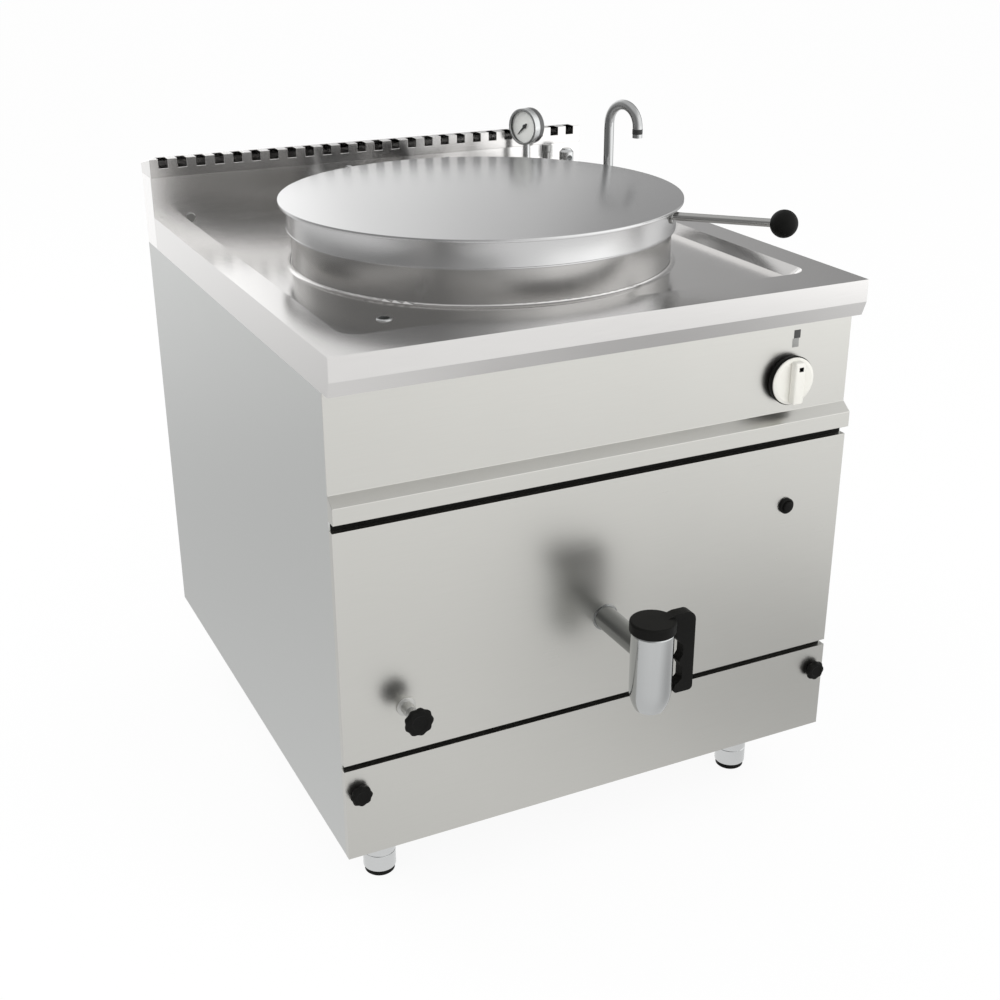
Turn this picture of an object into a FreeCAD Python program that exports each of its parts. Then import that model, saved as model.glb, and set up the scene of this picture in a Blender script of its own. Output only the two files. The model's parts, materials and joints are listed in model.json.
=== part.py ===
import FreeCAD, Part
import math
import os
import Sketcher

# Steam jacketed kettle: floor-standing cabinet, fixed round pan in a steam jacket, balanced lid,
# draw-off tap, level cock, filling spout, safety group and rear flue.
# Frame: +X to the right, +Y to the back, +Z up, origin on the floor in the middle of the outline.

V = FreeCAD.Vector
X_AXIS = V(1, 0, 0)
Y_AXIS = V(0, 1, 0)
Z_AXIS = V(0, 0, 1)
UPRIGHT = FreeCAD.Rotation()
TO_FRONT = FreeCAD.Rotation(X_AXIS, 90)
TO_BACK = FreeCAD.Rotation(X_AXIS, -90)
TO_RIGHT = FreeCAD.Rotation(Y_AXIS, 90)
UPSIDE_DOWN = FreeCAD.Rotation(X_AXIS, 180)

doc = FreeCAD.newDocument("steam_kettle")
sheet = doc.addObject("Spreadsheet::Sheet", "Sizes")

DRIVING_SIZES = {
    # cabinet
    "side_clear": 115,
    "front_clear": 136,
    "back_clear": 194,
    "top_height": 850,
    "front_reach": 379,
    "skin": 1.2,
    "side_flange": 12,
    "cabinet_foot": 117,
    "split_height": 265,
    "split_gap": 4,
    "air_gap": 16,
    "panel_setback": 18,
    "control_setback": 28,
    "control_height": 135,
    "rail_slope": 12,
    "rail_height": 35,
    "rail_setback": 12,
    "frame_tube": 30,
    "seat_gap": 0.3,
    "running_gap": 0.05,
    # worktop
    "top_skin": 2,
    "fascia_drop": 32,
    "bevel_drop": 21,
    "bevel_back": 8,
    "recess_depth": 15,
    "recess_slope": 12,
    "recess_corner": 30,
    "side_border": 46,
    "front_border": 70,
    "collar_width": 8,
    # flue
    "flue_depth": 60,
    "flue_rise": 95,
    "grille_band": 30,
    "grille_overhang": 4,
    "grille_skin": 1.5,
    "slot_count": 25,
    "slot_end_inset": 22,
    "slot_width": 15,
    "slot_drop": 15,
    "slot_run": 20,
    "duct_width": 300,
    "duct_height": 90,
    "duct_drop": 110,
    # legs and feet
    "leg_inset": 85,
    "leg_front_inset": 127,
    "leg_back_inset": 100,
    "leg_radius": 24.5,
    "leg_wall": 1.5,
    "foot_radius": 22.5,
    "foot_height": 8.7,
    "foot_stem_radius": 8,
    "foot_stem_top": 90,
    "leg_nut_height": 12,
    "leg_nut_level": 60,
    # pan and jacket
    "pan_radius": 285,
    "pan_wall": 2.5,
    "pan_corner": 30,
    "pan_rise": 70,
    "pan_dish": 6,
    "pan_lip": 1,
    "jacket_gap": 31.5,
    "jacket_wall": 3,
    "jacket_floor": 300,
    "jacket_drop": 135,
    "shroud_gap": 9,
    "shroud_rise": 29.8,
    "shroud_drop": 60,
    "shroud_post_radius": 8,
    "lagging": 20,
    # burner and gas line
    "burner_radius": 150,
    "burner_tube": 14,
    "burner_drop": 74,
    "port_radius": 3,
    "port_count": 16,
    "post_radius": 6,
    "post_reach": 106,
    "gas_pipe_radius": 8,
    "gas_pipe_wall": 1.5,
    "gas_pipe_inset": 65,
    "gas_run_rise": 15.8,
    "inlet_drop": 18.2,
    "inlet_back_inset": 51,
    "pipe_bend": 30,
    "nipple_radius": 10.5,
    "nipple_length": 25,
    "burner_pipe_radius": 5,
    "valve_width": 60,
    "valve_depth": 44,
    "valve_height": 66,
    # knobs and button
    "knob_inset": 106,
    "knob_rise": 50,
    "knob_radius": 36,
    "knob_gap": 4,
    "knob_ring": 9,
    "knob_disc": 4,
    "grip_length": 62,
    "grip_width": 17,
    "grip_height": 13,
    "valve_stem_radius": 4,
    "button_inset": 98,
    "button_drop": 94,
    "button_radius": 9,
    "button_travel": 4,
    "bezel_radius": 12,
    "bezel_height": 5,
    "igniter_length": 38,
    "kick_knob_inset": 20,
    "kick_knob_drop": 43,
    "kick_knob_radius": 16.5,
    "kick_knob_height": 13,
    "kick_screw_radius": 4,
    "kick_screw_reach": 34,
    # draw-off tap
    "tap_reach": 125,
    "outlet_rise": 33,
    "tap_radius": 29.5,
    "tap_rise": 39,
    "tap_shoulder_drop": 44,
    "tap_taper": 36,
    "tap_mouth_radius": 20.5,
    "tap_bore": 14,
    "plug_radius": 22,
    "plug_drop": 28,
    "stem_radius": 8,
    "cap_radius": 32,
    "cap_height": 16,
    "lever_inner": 45,
    "lever_outer": 63,
    "lever_width": 16,
    "lever_rise": 4,
    "lever_drop": 19,
    "lever_web": 44,
    "lever_toe": 16,
    "lever_crown": 14,
    "bump_pitch": 74,
    "bump_reach": 10,
    "lever_bump": 6,
    "toe_clear": 4,
    "drain_pipe_radius": 17,
    "drain_pipe_wall": 3,
    # level cock
    "cock_inset": 92,
    "cock_rise": 40,
    "cock_neck_radius": 9,
    "cock_neck_reach": 18,
    "cock_body_radius": 14,
    "cock_body_length": 40,
    "cock_knob_radius": 21.5,
    "cock_knob_reach": 42,
    "cock_knob_height": 16,
    "cock_spindle_radius": 5,
    "level_pipe_radius": 7,
    "level_pipe_wall": 1.5,
    "level_pipe_run": 60,
    "level_pipe_bend": 60,
    "level_pipe_slant": 150,
    # lid, hinge and lever
    "lid_rim": 11,
    "lid_rise": 81,
    "lid_skin": 1.5,
    "lid_hem": 5,
    "skirt_clear": 3,
    "skirt_drop": 44,
    "hinge_gap": 61,
    "hinge_rise": 45,
    "hinge_pin_radius": 6,
    "hinge_arm_offset": 90,
    "hinge_arm_width": 8,
    "hinge_boss": 14,
    "hinge_lug_width": 8,
    "hinge_plate": 6,
    "hinge_foot_reach": 22,
    "hinge_pin_end": 4,
    "hinge_side_gap": 0.5,
    "handle_angle": 45,
    "handle_drop": 15,
    "handle_rod_radius": 6,
    "handle_ball_radius": 20,
    "handle_run": 162,
    # filling spout
    "spout_inset": 94,
    "spout_back": 147,
    "spout_radius": 8,
    "spout_bore": 6.5,
    "spout_bend": 33,
    "spout_rise": 157,
    "spout_tip": 16,
    "spout_angle": 76,
    "spout_nut_radius": 13,
    "spout_nut_height": 24,
    "spout_socket": 18,
    "spout_tail": 30,
    "spout_flange_radius": 17,
    "water_run_drop": 93,
    # safety group
    "group_back_inset": 100,
    "gauge_inset": 129,
    "port_spacing": 41,
    "group_rise": 33,
    "group_tube": 10,
    "riser_inset": 70,
    "riser_radius": 8,
    "riser_drop": 28,
    "gauge_rise": 89,
    "gauge_radius": 31.5,
    "gauge_depth": 26,
    "gauge_turn": 22,
    "gauge_stem": 6,
    "gauge_wall": 2,
    "gauge_rim": 1.5,
    "dial_setback": 9,
    "air_valve_radius": 6.5,
    "air_valve_rise": 54,
    "safety_valve_radius": 13,
    "safety_valve_rise": 44,
    # small fittings
    "spill_inset": 139,
    "spill_setback": 168,
    "spill_radius": 11,
    "spill_bore": 7,
    "spill_tail": 40,
    "cover_plug_inset": 61,
    "cover_plug_drop": 5,
    "cover_plug_radius": 8,
    "screw_radius": 4,
    "screw_head": 1.5,
    "screw_inset": 10,
    "screw_end_inset": 40,
    "screw_count": 4,
}

for row, (alias, number) in enumerate(DRIVING_SIZES.items(), 1):
    sheet.set(f"A{row}", alias)
    sheet.set(f"B{row}", str(number))
    sheet.setAlias(f"B{row}", alias)
doc.recompute()


class Size:
    """A length that knows its value and the sheet expression it comes from."""

    def __init__(self, value, text):
        self.value = value
        self.text = text

    @staticmethod
    def of(other):
        """The size itself, or a plain number made a size."""
        return other if isinstance(other, Size) else Size(float(other), f"({float(other)!r})")

    def _with(self, other, sign, value):
        return Size(value, f"({self.text} {sign} {other.text})")

    def __add__(self, other):
        other = Size.of(other)
        return self._with(other, "+", self.value + other.value)

    def __radd__(self, other):
        return Size.of(other) + self

    def __sub__(self, other):
        other = Size.of(other)
        return self._with(other, "-", self.value - other.value)

    def __rsub__(self, other):
        return Size.of(other) - self

    def __mul__(self, other):
        other = Size.of(other)
        return self._with(other, "*", self.value * other.value)

    def __rmul__(self, other):
        return Size.of(other) * self

    def __truediv__(self, other):
        other = Size.of(other)
        return self._with(other, "/", self.value / other.value)

    def __neg__(self):
        return Size.of(0) - self


class SheetSizes:
    """Reads each driving size from the sheet by its alias."""

    def __getattr__(self, alias):
        return Size(float(sheet.get(alias)), f"Sizes.{alias}")


d = SheetSizes()

# Places that several sub-parts share
# The pan and the room round it give the cabinet's width and depth.
HALF = d.pan_radius + d.side_clear
FRONT = -d.front_reach
BACK = FRONT + d.front_clear + d.pan_radius * 2 + d.back_clear
PANEL_FACE = FRONT + d.panel_setback
CONTROL_FACE = FRONT + d.control_setback
SIDE_FRONT = CONTROL_FACE + d.skin
BACK_SHEET = BACK - d.skin
INNER_HALF = HALF - d.skin
FASCIA_FOOT = d.top_height - d.fascia_drop - d.bevel_drop
DECK = d.top_height - d.recess_depth
FLUE_FRONT = BACK - d.flue_depth
FLUE_TOP = d.top_height + d.flue_rise
GRILLE_FOOT = FLUE_TOP - d.grille_band
FRAME_FOOT = d.cabinet_foot + d.skin
FRAME_TOP = FRAME_FOOT + d.frame_tube
FRAME_FRONT = SIDE_FRONT + d.skin
FRAME_BACK = BACK_SHEET - d.skin

# Front: drip rail, door, and the hand parts on them
RAIL_TOP = FASCIA_FOOT - d.control_height
RAIL_SHOULDER = RAIL_TOP - d.rail_slope
RAIL_FOOT = RAIL_TOP - d.rail_height
DOOR_TOP = RAIL_FOOT - d.air_gap
KNOB_X = HALF - d.knob_inset
KNOB_Z = RAIL_TOP + d.knob_rise
BUTTON_X = HALF - d.button_inset
BUTTON_Z = DOOR_TOP - d.button_drop
KICK_KNOB_X = HALF - d.kick_knob_inset
KICK_KNOB_Z = d.split_height - d.kick_knob_drop

# Pan, jacket and lid
PAN_Y = FRONT + d.front_clear + d.pan_radius
PAN_OUTSIDE = d.pan_radius + d.pan_wall
JACKET = PAN_OUTSIDE + d.jacket_gap + d.jacket_wall
SHROUD = JACKET + d.shroud_gap
SKIRT = PAN_OUTSIDE + d.pan_lip + d.skirt_clear + d.lid_skin
LID_RADIUS = SKIRT + d.lid_rim
PAN_FLOOR = d.jacket_floor + d.pan_rise
LID_TOP = d.top_height + d.lid_rise
PAN_RIM = LID_TOP - d.lid_skin - d.seat_gap
SKIRT_FOOT = LID_TOP - d.skirt_drop
JACKET_TOP = DECK - d.jacket_drop
SHROUD_FLOOR = FRAME_TOP + d.shroud_rise
SHROUD_TOP = JACKET_TOP - d.shroud_drop
DUCT_FLOOR = SHROUD_TOP - d.duct_drop
HINGE_Y = PAN_Y + SKIRT + d.hinge_gap
HINGE_Z = DECK + d.hinge_rise

# Tap and level cock
TAP_Y = PANEL_FACE - d.tap_reach
TAP_Z = PAN_FLOOR + d.outlet_rise
TAP_TOP = TAP_Z + d.tap_rise
TAP_SHOULDER = TAP_Z - d.tap_shoulder_drop
TAP_MOUTH = TAP_SHOULDER - d.tap_taper
PLUG_FLOOR = TAP_Z - d.plug_drop
COCK_X = d.cock_inset - HALF
COCK_Z = d.jacket_floor + d.cock_rise
COCK_BACK = PANEL_FACE + d.skin + d.cock_body_length

# Gas and water lines, spout and safety group
BURNER_Z = d.jacket_floor - d.burner_drop
GAS_X = HALF - d.gas_pipe_inset
GAS_RUN_Z = FRAME_TOP + d.gas_run_rise
INLET_Y = BACK - d.inlet_back_inset
INLET_Z = FRAME_FOOT - d.inlet_drop
VALVE_FRONT = CONTROL_FACE + d.skin
VALVE_FOOT = KNOB_Z - d.valve_height / 2
SPOUT_X = HALF - d.spout_inset
SPOUT_Y = PAN_Y + d.spout_back
GROUP_Y = BACK - d.group_back_inset
GROUP_Z = DECK + d.group_rise
GAUGE_X = HALF - d.gauge_inset
GAUGE_Z = GROUP_Z + d.gauge_rise
RISER_X = HALF - d.riser_inset
RISER_Z = JACKET_TOP - d.riser_drop
SPILL_X = d.spill_inset - HALF
SPILL_Y = FRONT + d.spill_setback
COVER_PLUG_X = d.cover_plug_inset - HALF
COVER_PLUG_Z = d.top_height - d.cover_plug_drop

# How far a cutting tool passes the faces it opens
PASS = 1

PIECES = {}


def bind(item, sizes):
    """Binds properties of an object to sheet expressions."""
    for prop, value in sizes.items():
        item.setExpression(prop, Size.of(value).text)


def place(item, at, rotation=UPRIGHT):
    """Turns an object and binds its place."""
    item.Placement = FreeCAD.Placement(V(*(Size.of(c).value for c in at)), rotation)
    bind(item, {f"Placement.Base.{axis}": c for axis, c in zip("xyz", at)})
    return item


def box(name, low, high):
    """A box between two corners."""
    item = doc.addObject("Part::Box", name)
    length, width, height = (Size.of(b) - a for a, b in zip(low, high))
    bind(item, {"Length": length, "Width": width, "Height": height})
    return place(item, low)


def rod(name, at, radius, length, rotation=UPRIGHT):
    """A cylinder that starts at a point and runs along its turned Z axis."""
    item = doc.addObject("Part::Cylinder", name)
    bind(item, {"Radius": radius, "Height": length})
    return place(item, at, rotation)


def ball(name, at, radius):
    """A sphere."""
    item = doc.addObject("Part::Sphere", name)
    bind(item, {"Radius": radius})
    return place(item, at)


def fuse(name, items):
    """Several shapes as one."""
    item = doc.addObject("Part::MultiFuse", name)
    item.Shapes = items
    item.Refine = True
    return item


def cut(name, base, tools):
    """A shape with one or more tools cut away."""
    item = doc.addObject("Part::Cut", name)
    item.Base = base
    item.Tool = tools[0] if len(tools) == 1 else fuse(name + "_tools", tools)
    item.Refine = True
    return item


def common(name, first, second):
    """What two shapes share."""
    item = doc.addObject("Part::Common", name)
    item.Base = first
    item.Tool = second
    return item


def origin_plane(body, role):
    """A body's own origin plane or axis."""
    return next(feature for feature in body.Origin.OriginFeatures if feature.Role == role)


def arc_centre(start, end, radius):
    """Centre of the shorter arc between two points; a positive radius turns to the left."""
    chord = end - start
    rise = math.sqrt(max(radius * radius - chord.Length ** 2 / 4, 0.0))
    left = V(-chord.y, chord.x, 0).normalize()
    return (start + end) * 0.5 + left * math.copysign(rise, radius)


def add_span(sketch, start, end, bend):
    """A line, or an arc where the end point has a bend radius."""
    if bend is None:
        sketch.addGeometry(Part.LineSegment(start, end), False)
        return (1, 2)
    centre = arc_centre(start, end, bend.value)
    first, last = (math.atan2(p.y - centre.y, p.x - centre.x) for p in (start, end))
    circle = Part.Circle(centre, Z_AXIS, abs(bend.value))
    if bend.value > 0:
        sketch.addGeometry(Part.ArcOfCircle(circle, first, last), False)
        return (1, 2)
    sketch.addGeometry(Part.ArcOfCircle(circle, last, first), False)
    return (2, 1)


def fix_point(sketch, geometry, end, point):
    """Binds a sketch point to its two sizes."""
    for kind, size in (("DistanceX", point[0]), ("DistanceY", point[1])):
        size = Size.of(size)
        index = sketch.addConstraint(Sketcher.Constraint(kind, -1, 1, geometry, end, size.value))
        sketch.setExpression(f"Constraints[{index}]", size.text)


def new_sketch(body, name, plane, height=None):
    """An empty sketch on one of the body's origin planes, raised by a size where one is given."""
    sketch = body.newObject("Sketcher::SketchObject", name)
    sketch.AttachmentSupport = (origin_plane(body, plane), [""])
    sketch.MapMode = "FlatFace"
    if height is not None:
        bind(sketch, {"AttachmentOffset.Base.z": height})
    return sketch


def draw(sketch, outline, closed=True):
    """Draws points (u, v) or (u, v, bend) as joined lines and arcs, each bound to its sizes."""
    bends = [Size.of(p[2]) if len(p) > 2 else None for p in outline]
    spots = [V(Size.of(p[0]).value, Size.of(p[1]).value, 0) for p in outline]
    spans = len(spots) if closed else len(spots) - 1
    first = sketch.GeometryCount
    ends = []
    for i in range(spans):
        j = (i + 1) % len(spots)
        ends.append(add_span(sketch, spots[i], spots[j], bends[j]))
    for i in range(spans if closed else spans - 1):
        j = (i + 1) % spans
        sketch.addConstraint(
            Sketcher.Constraint("Coincident", first + i, ends[i][1], first + j, ends[j][0])
        )
    for i in range(spans):
        fix_point(sketch, first + i, ends[i][0], outline[i])
        bend = bends[(i + 1) % len(spots)]
        if bend is not None:
            index = sketch.addConstraint(Sketcher.Constraint("Radius", first + i, abs(bend.value)))
            sketch.setExpression(f"Constraints[{index}]", (bend if bend.value > 0 else -bend).text)
    if not closed:
        fix_point(sketch, first + spans - 1, ends[-1][1], outline[-1])
    return sketch


def draw_circle(sketch, centre, radius):
    """Draws a circle bound to its centre and radius."""
    radius = Size.of(radius)
    middle = V(Size.of(centre[0]).value, Size.of(centre[1]).value, 0)
    index = sketch.addGeometry(Part.Circle(middle, Z_AXIS, radius.value), False)
    fix_point(sketch, index, 3, centre)
    number = sketch.addConstraint(Sketcher.Constraint("Radius", index, radius.value))
    sketch.setExpression(f"Constraints[{number}]", radius.text)


def new_body(name):
    """An empty solid body."""
    return doc.addObject("PartDesign::Body", name)


def turned(name, outline, at, rotation=UPRIGHT):
    """A piece turned about its own Z axis from an outline of (radius, height) points."""
    body = new_body(name)
    sketch = draw(new_sketch(body, name + "_outline", "XZ_Plane"), outline)
    turn = body.newObject("PartDesign::Revolution", name + "_turn")
    turn.Profile = sketch
    turn.ReferenceAxis = (sketch, ["V_Axis"])
    turn.Angle = 360
    return place(body, at, rotation)


def extruded(name, plane, outline, length, at, rotation=UPRIGHT):
    """A piece of one outline, drawn out evenly to both sides of an origin plane."""
    body = new_body(name)
    sketch = draw(new_sketch(body, name + "_outline", plane), outline)
    pad = body.newObject("PartDesign::Pad", name + "_pad")
    pad.Profile = sketch
    pad.SideType = "Symmetric"
    bind(pad, {"Length": length})
    return place(body, at, rotation)


def bent_tube(name, route, radius, bore, at, rotation=UPRIGHT):
    """A tube along a flat route of runs and bends that leaves its start along its own Z axis."""
    body = new_body(name)
    path = draw(new_sketch(body, name + "_route", "XZ_Plane"), route, closed=False)
    section = new_sketch(body, name + "_section", "XY_Plane")
    draw_circle(section, (0, 0), radius)
    if bore is not None:
        draw_circle(section, (0, 0), bore)
    run = body.newObject("PartDesign::AdditivePipe", name + "_run")
    run.Profile = section
    run.Spine = (path, [f"Edge{k + 1}" for k in range(path.GeometryCount)])
    return place(body, at, rotation)


def piece(label, item):
    """Keeps an object as a named sub-part."""
    item.Label = label
    PIECES[label] = item
    return item


def rectangle(left, low, right, high):
    """The four corners of an upright rectangle."""
    return [(left, low), (right, low), (right, high), (left, high)]


# Base: welded frame, legs and adjustable feet

LEG_X = HALF - d.leg_inset
LEG_FRONT_Y = FRONT + d.leg_front_inset
LEG_BACK_Y = BACK - d.leg_back_inset
LEG_FOOT = d.foot_height + d.seat_gap
RAIL_HALF = d.leg_radius + 1


def build_base_frame():
    """Ring of square tube with cross rails over the legs, two burner rails and four corner posts."""
    ring = cut(
        "frame_ring",
        box("frame_outer", (-INNER_HALF, FRAME_FRONT, FRAME_FOOT), (INNER_HALF, FRAME_BACK, FRAME_TOP)),
        [
            box(
                "frame_inner",
                (-INNER_HALF + d.frame_tube, FRAME_FRONT + d.frame_tube, FRAME_FOOT - PASS),
                (INNER_HALF - d.frame_tube, FRAME_BACK - d.frame_tube, FRAME_TOP + PASS),
            )
        ],
    )
    parts = [ring]
    for side, level in (("front", LEG_FRONT_Y), ("back", LEG_BACK_Y)):
        low = (-INNER_HALF + 1, level - RAIL_HALF, FRAME_FOOT)
        parts.append(box(f"cross_rail_{side}", low, (INNER_HALF - 1, level + RAIL_HALF, FRAME_TOP)))
    for side, sign in (("left", -1), ("right", 1)):
        middle = d.post_reach * sign
        low = (middle - d.frame_tube / 2, LEG_FRONT_Y, FRAME_FOOT)
        parts.append(box(f"burner_rail_{side}", low, (middle + d.frame_tube / 2, LEG_BACK_Y, FRAME_TOP)))
        left = -INNER_HALF if sign < 0 else INNER_HALF - d.frame_tube
        for end, start in (("front", FRAME_FRONT), ("back", FRAME_BACK - d.frame_tube)):
            low = (left, start, FRAME_FOOT)
            high = (left + d.frame_tube, start + d.frame_tube, FASCIA_FOOT - d.skin)
            parts.append(box(f"post_{end}_{side}", low, high))
    # four posts stand on the burner rails under the shroud's rim
    lean = math.asin(d.post_reach.value / SHROUD.value)
    reach_y = SHROUD * math.cos(lean)
    for i, (sx, sy) in enumerate(((-1, -1), (1, -1), (1, 1), (-1, 1))):
        foot = (d.post_reach * sx, PAN_Y + reach_y * sy, FRAME_TOP)
        parts.append(rod(f"shroud_post_{i}", foot, d.shroud_post_radius, SHROUD_FLOOR - FRAME_TOP))
    holes = []
    for side, sign in (("left", -1), ("right", 1)):
        start = (KICK_KNOB_X * sign, FRAME_FRONT - PASS, KICK_KNOB_Z)
        radius = d.kick_screw_radius + d.running_gap
        holes.append(rod(f"post_thread_{side}", start, radius, d.frame_tube - 2, TO_BACK))
    piece("base_frame", cut("base_frame", fuse("frame_weldment", parts), holes))


def build_leg(name, sign, level):
    """Round tubular leg with a nut block inside, and the foot that screws into it."""
    inner = d.leg_radius - d.leg_wall
    nut_top = d.leg_nut_level + d.leg_nut_height
    bore = d.foot_stem_radius + d.running_gap
    outline = [
        (inner, LEG_FOOT), (d.leg_radius, LEG_FOOT), (d.leg_radius, FRAME_FOOT), (0, FRAME_FOOT),
        (0, FRAME_FOOT - 4), (inner, FRAME_FOOT - 4), (inner, nut_top), (bore, nut_top),
        (bore, d.leg_nut_level), (inner, d.leg_nut_level),
    ]
    at = (LEG_X * sign, level, 0)
    piece(f"leg_{name}", turned(f"leg_{name}", outline, at))
    edge = 1.5
    stem = [
        (0, 0), (d.foot_radius - edge, 0), (d.foot_radius, edge), (d.foot_radius, d.foot_height),
        (d.foot_stem_radius, d.foot_height), (d.foot_stem_radius, d.foot_stem_top), (0, d.foot_stem_top),
    ]
    piece(f"foot_{name}", turned(f"foot_{name}", stem, at))


def build_legs():
    """Four legs with their feet."""
    for end, level in (("front", LEG_FRONT_Y), ("back", LEG_BACK_Y)):
        for side, sign in (("left", -1), ("right", 1)):
            build_leg(f"{end}_{side}", sign, level)


# Cabinet panels


def build_side_panels():
    """Side sheets with all four edges folded inwards."""
    for side, sign in (("left", -1), ("right", 1)):
        outside = HALF * sign
        fold = (HALF - d.side_flange) * sign
        skin_face = INNER_HALF * sign
        left, right = (outside, fold) if sign < 0 else (fold, outside)
        hollow_left, hollow_right = (skin_face, fold + 1) if sign < 0 else (fold - 1, skin_face)
        shell = box(
            f"side_{side}_shell", (left, SIDE_FRONT, d.cabinet_foot), (right, BACK_SHEET, FASCIA_FOOT)
        )
        hollow = box(
            f"side_{side}_hollow",
            (hollow_left, SIDE_FRONT + d.skin, d.cabinet_foot + d.skin),
            (hollow_right, BACK_SHEET - d.skin, FASCIA_FOOT - d.skin),
        )
        piece(f"side_panel_{side}", cut(f"side_panel_{side}", shell, [hollow]))


def build_back_panel():
    """Flat rear sheet and the screws along its two edges."""
    piece("back_panel", box("back_panel", (-HALF, BACK_SHEET, d.cabinet_foot), (HALF, BACK, FASCIA_FOOT)))
    screws = []
    count = int(d.screw_count.value)
    pitch = (FASCIA_FOOT - d.cabinet_foot - d.screw_end_inset * 2) / (count - 1)
    for side, sign in (("left", -1), ("right", 1)):
        for step in range(count):
            at = ((HALF - d.screw_inset) * sign, BACK, d.cabinet_foot + d.screw_end_inset + pitch * step)
            screws.append(rod(f"back_screw_{side}_{step}", at, d.screw_radius, d.screw_head, TO_BACK))
    group = doc.addObject("Part::Compound", "back_panel_screws")
    group.Links = screws
    piece("back_panel_screws", group)


def tray(name, low, high):
    """A front sheet with its four edges folded backwards."""
    shell = box(name + "_shell", (-HALF, PANEL_FACE, low), (HALF, SIDE_FRONT, high))
    hollow = box(
        name + "_hollow",
        (-INNER_HALF, PANEL_FACE + d.skin, low + d.skin),
        (INNER_HALF, SIDE_FRONT + PASS, high - d.skin),
    )
    return shell, hollow


def panel_hole(name, offset, level, radius):
    """A drilling through a front sheet."""
    return rod(name, (offset, PANEL_FACE - PASS, level), radius, d.skin + PASS * 2, TO_BACK)


def build_front_panels():
    """Main front panel with holes for the tap, level cock and igniter, and the kick panel below it."""
    shell, hollow = tray("front_panel", d.split_height + d.split_gap / 2, DOOR_TOP)
    holes = [
        panel_hole("tap_hole", 0, TAP_Z, d.drain_pipe_radius + d.seat_gap),
        panel_hole("cock_hole", COCK_X, COCK_Z, d.cock_neck_radius + d.seat_gap),
        panel_hole("igniter_hole", BUTTON_X, BUTTON_Z, d.button_radius + 1),
    ]
    piece("front_panel", cut("front_panel", shell, [hollow] + holes))
    shell, hollow = tray("kick_panel", d.cabinet_foot, d.split_height - d.split_gap / 2)
    holes = [
        panel_hole(f"kick_hole_{side}", KICK_KNOB_X * sign, KICK_KNOB_Z, d.kick_screw_radius + d.seat_gap)
        for side, sign in (("left", -1), ("right", 1))
    ]
    piece("kick_panel", cut("kick_panel", shell, [hollow] + holes))


def build_control_panel():
    """Bent control sheet whose foot folds out into a drip rail with closed ends."""
    rail_face = FRONT + d.rail_setback
    inside = CONTROL_FACE + d.skin
    # the sheet's inner face at the rail's slope, drawn parallel to the outer one
    slope_drop = d.skin / 2
    outline = [
        (CONTROL_FACE, FASCIA_FOOT), (CONTROL_FACE, RAIL_TOP), (rail_face, RAIL_SHOULDER),
        (rail_face, RAIL_FOOT), (SIDE_FRONT, RAIL_FOOT), (SIDE_FRONT, RAIL_FOOT + d.skin),
        (rail_face + d.skin, RAIL_FOOT + d.skin), (rail_face + d.skin, RAIL_SHOULDER - slope_drop),
        (inside, RAIL_TOP - slope_drop), (inside, FASCIA_FOOT),
    ]
    sheet_body = extruded("control_sheet", "YZ_Plane", outline, HALF * 2, (0, 0, 0))
    cap_outline = [
        (CONTROL_FACE, RAIL_TOP), (rail_face, RAIL_SHOULDER), (rail_face, RAIL_FOOT),
        (SIDE_FRONT, RAIL_FOOT), (SIDE_FRONT, RAIL_TOP),
    ]
    caps = [
        extruded(f"rail_end_{side}", "YZ_Plane", cap_outline, d.skin, ((HALF - d.skin / 2) * sign, 0, 0))
        for side, sign in (("left", -1), ("right", 1))
    ]
    hole = rod(
        "selector_hole", (KNOB_X, CONTROL_FACE - 1, KNOB_Z),
        d.valve_stem_radius + d.seat_gap, d.skin + 2, TO_BACK,
    )
    piece("control_panel", cut("control_panel", fuse("control_fold", [sheet_body] + caps), [hole]))


# Worktop and flue


def recess_loft(name, grow, back, top, floor):
    """The recess as a loft between its mouth and its smaller floor, grown by a sheet's thickness."""
    body = new_body(name)
    rings = []
    for tag, level, inset in (("mouth", top, 0), ("floor", floor, 1)):
        step = d.recess_slope * inset - grow
        side = HALF - d.side_border - step
        low = FRONT + d.front_border + step
        corner = d.recess_corner + grow
        ring = new_sketch(body, f"{name}_{tag}", "XY_Plane", level)
        outline = [
            (side - corner, low), (side, low + corner, corner), (side, back), (-side, back),
            (-side, low + corner), (-side + corner, low, corner),
        ]
        rings.append(draw(ring, outline))
    loft = body.newObject("PartDesign::AdditiveLoft", name + "_loft")
    loft.Profile = rings[0]
    loft.Sections = [rings[1]]
    return body


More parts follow.
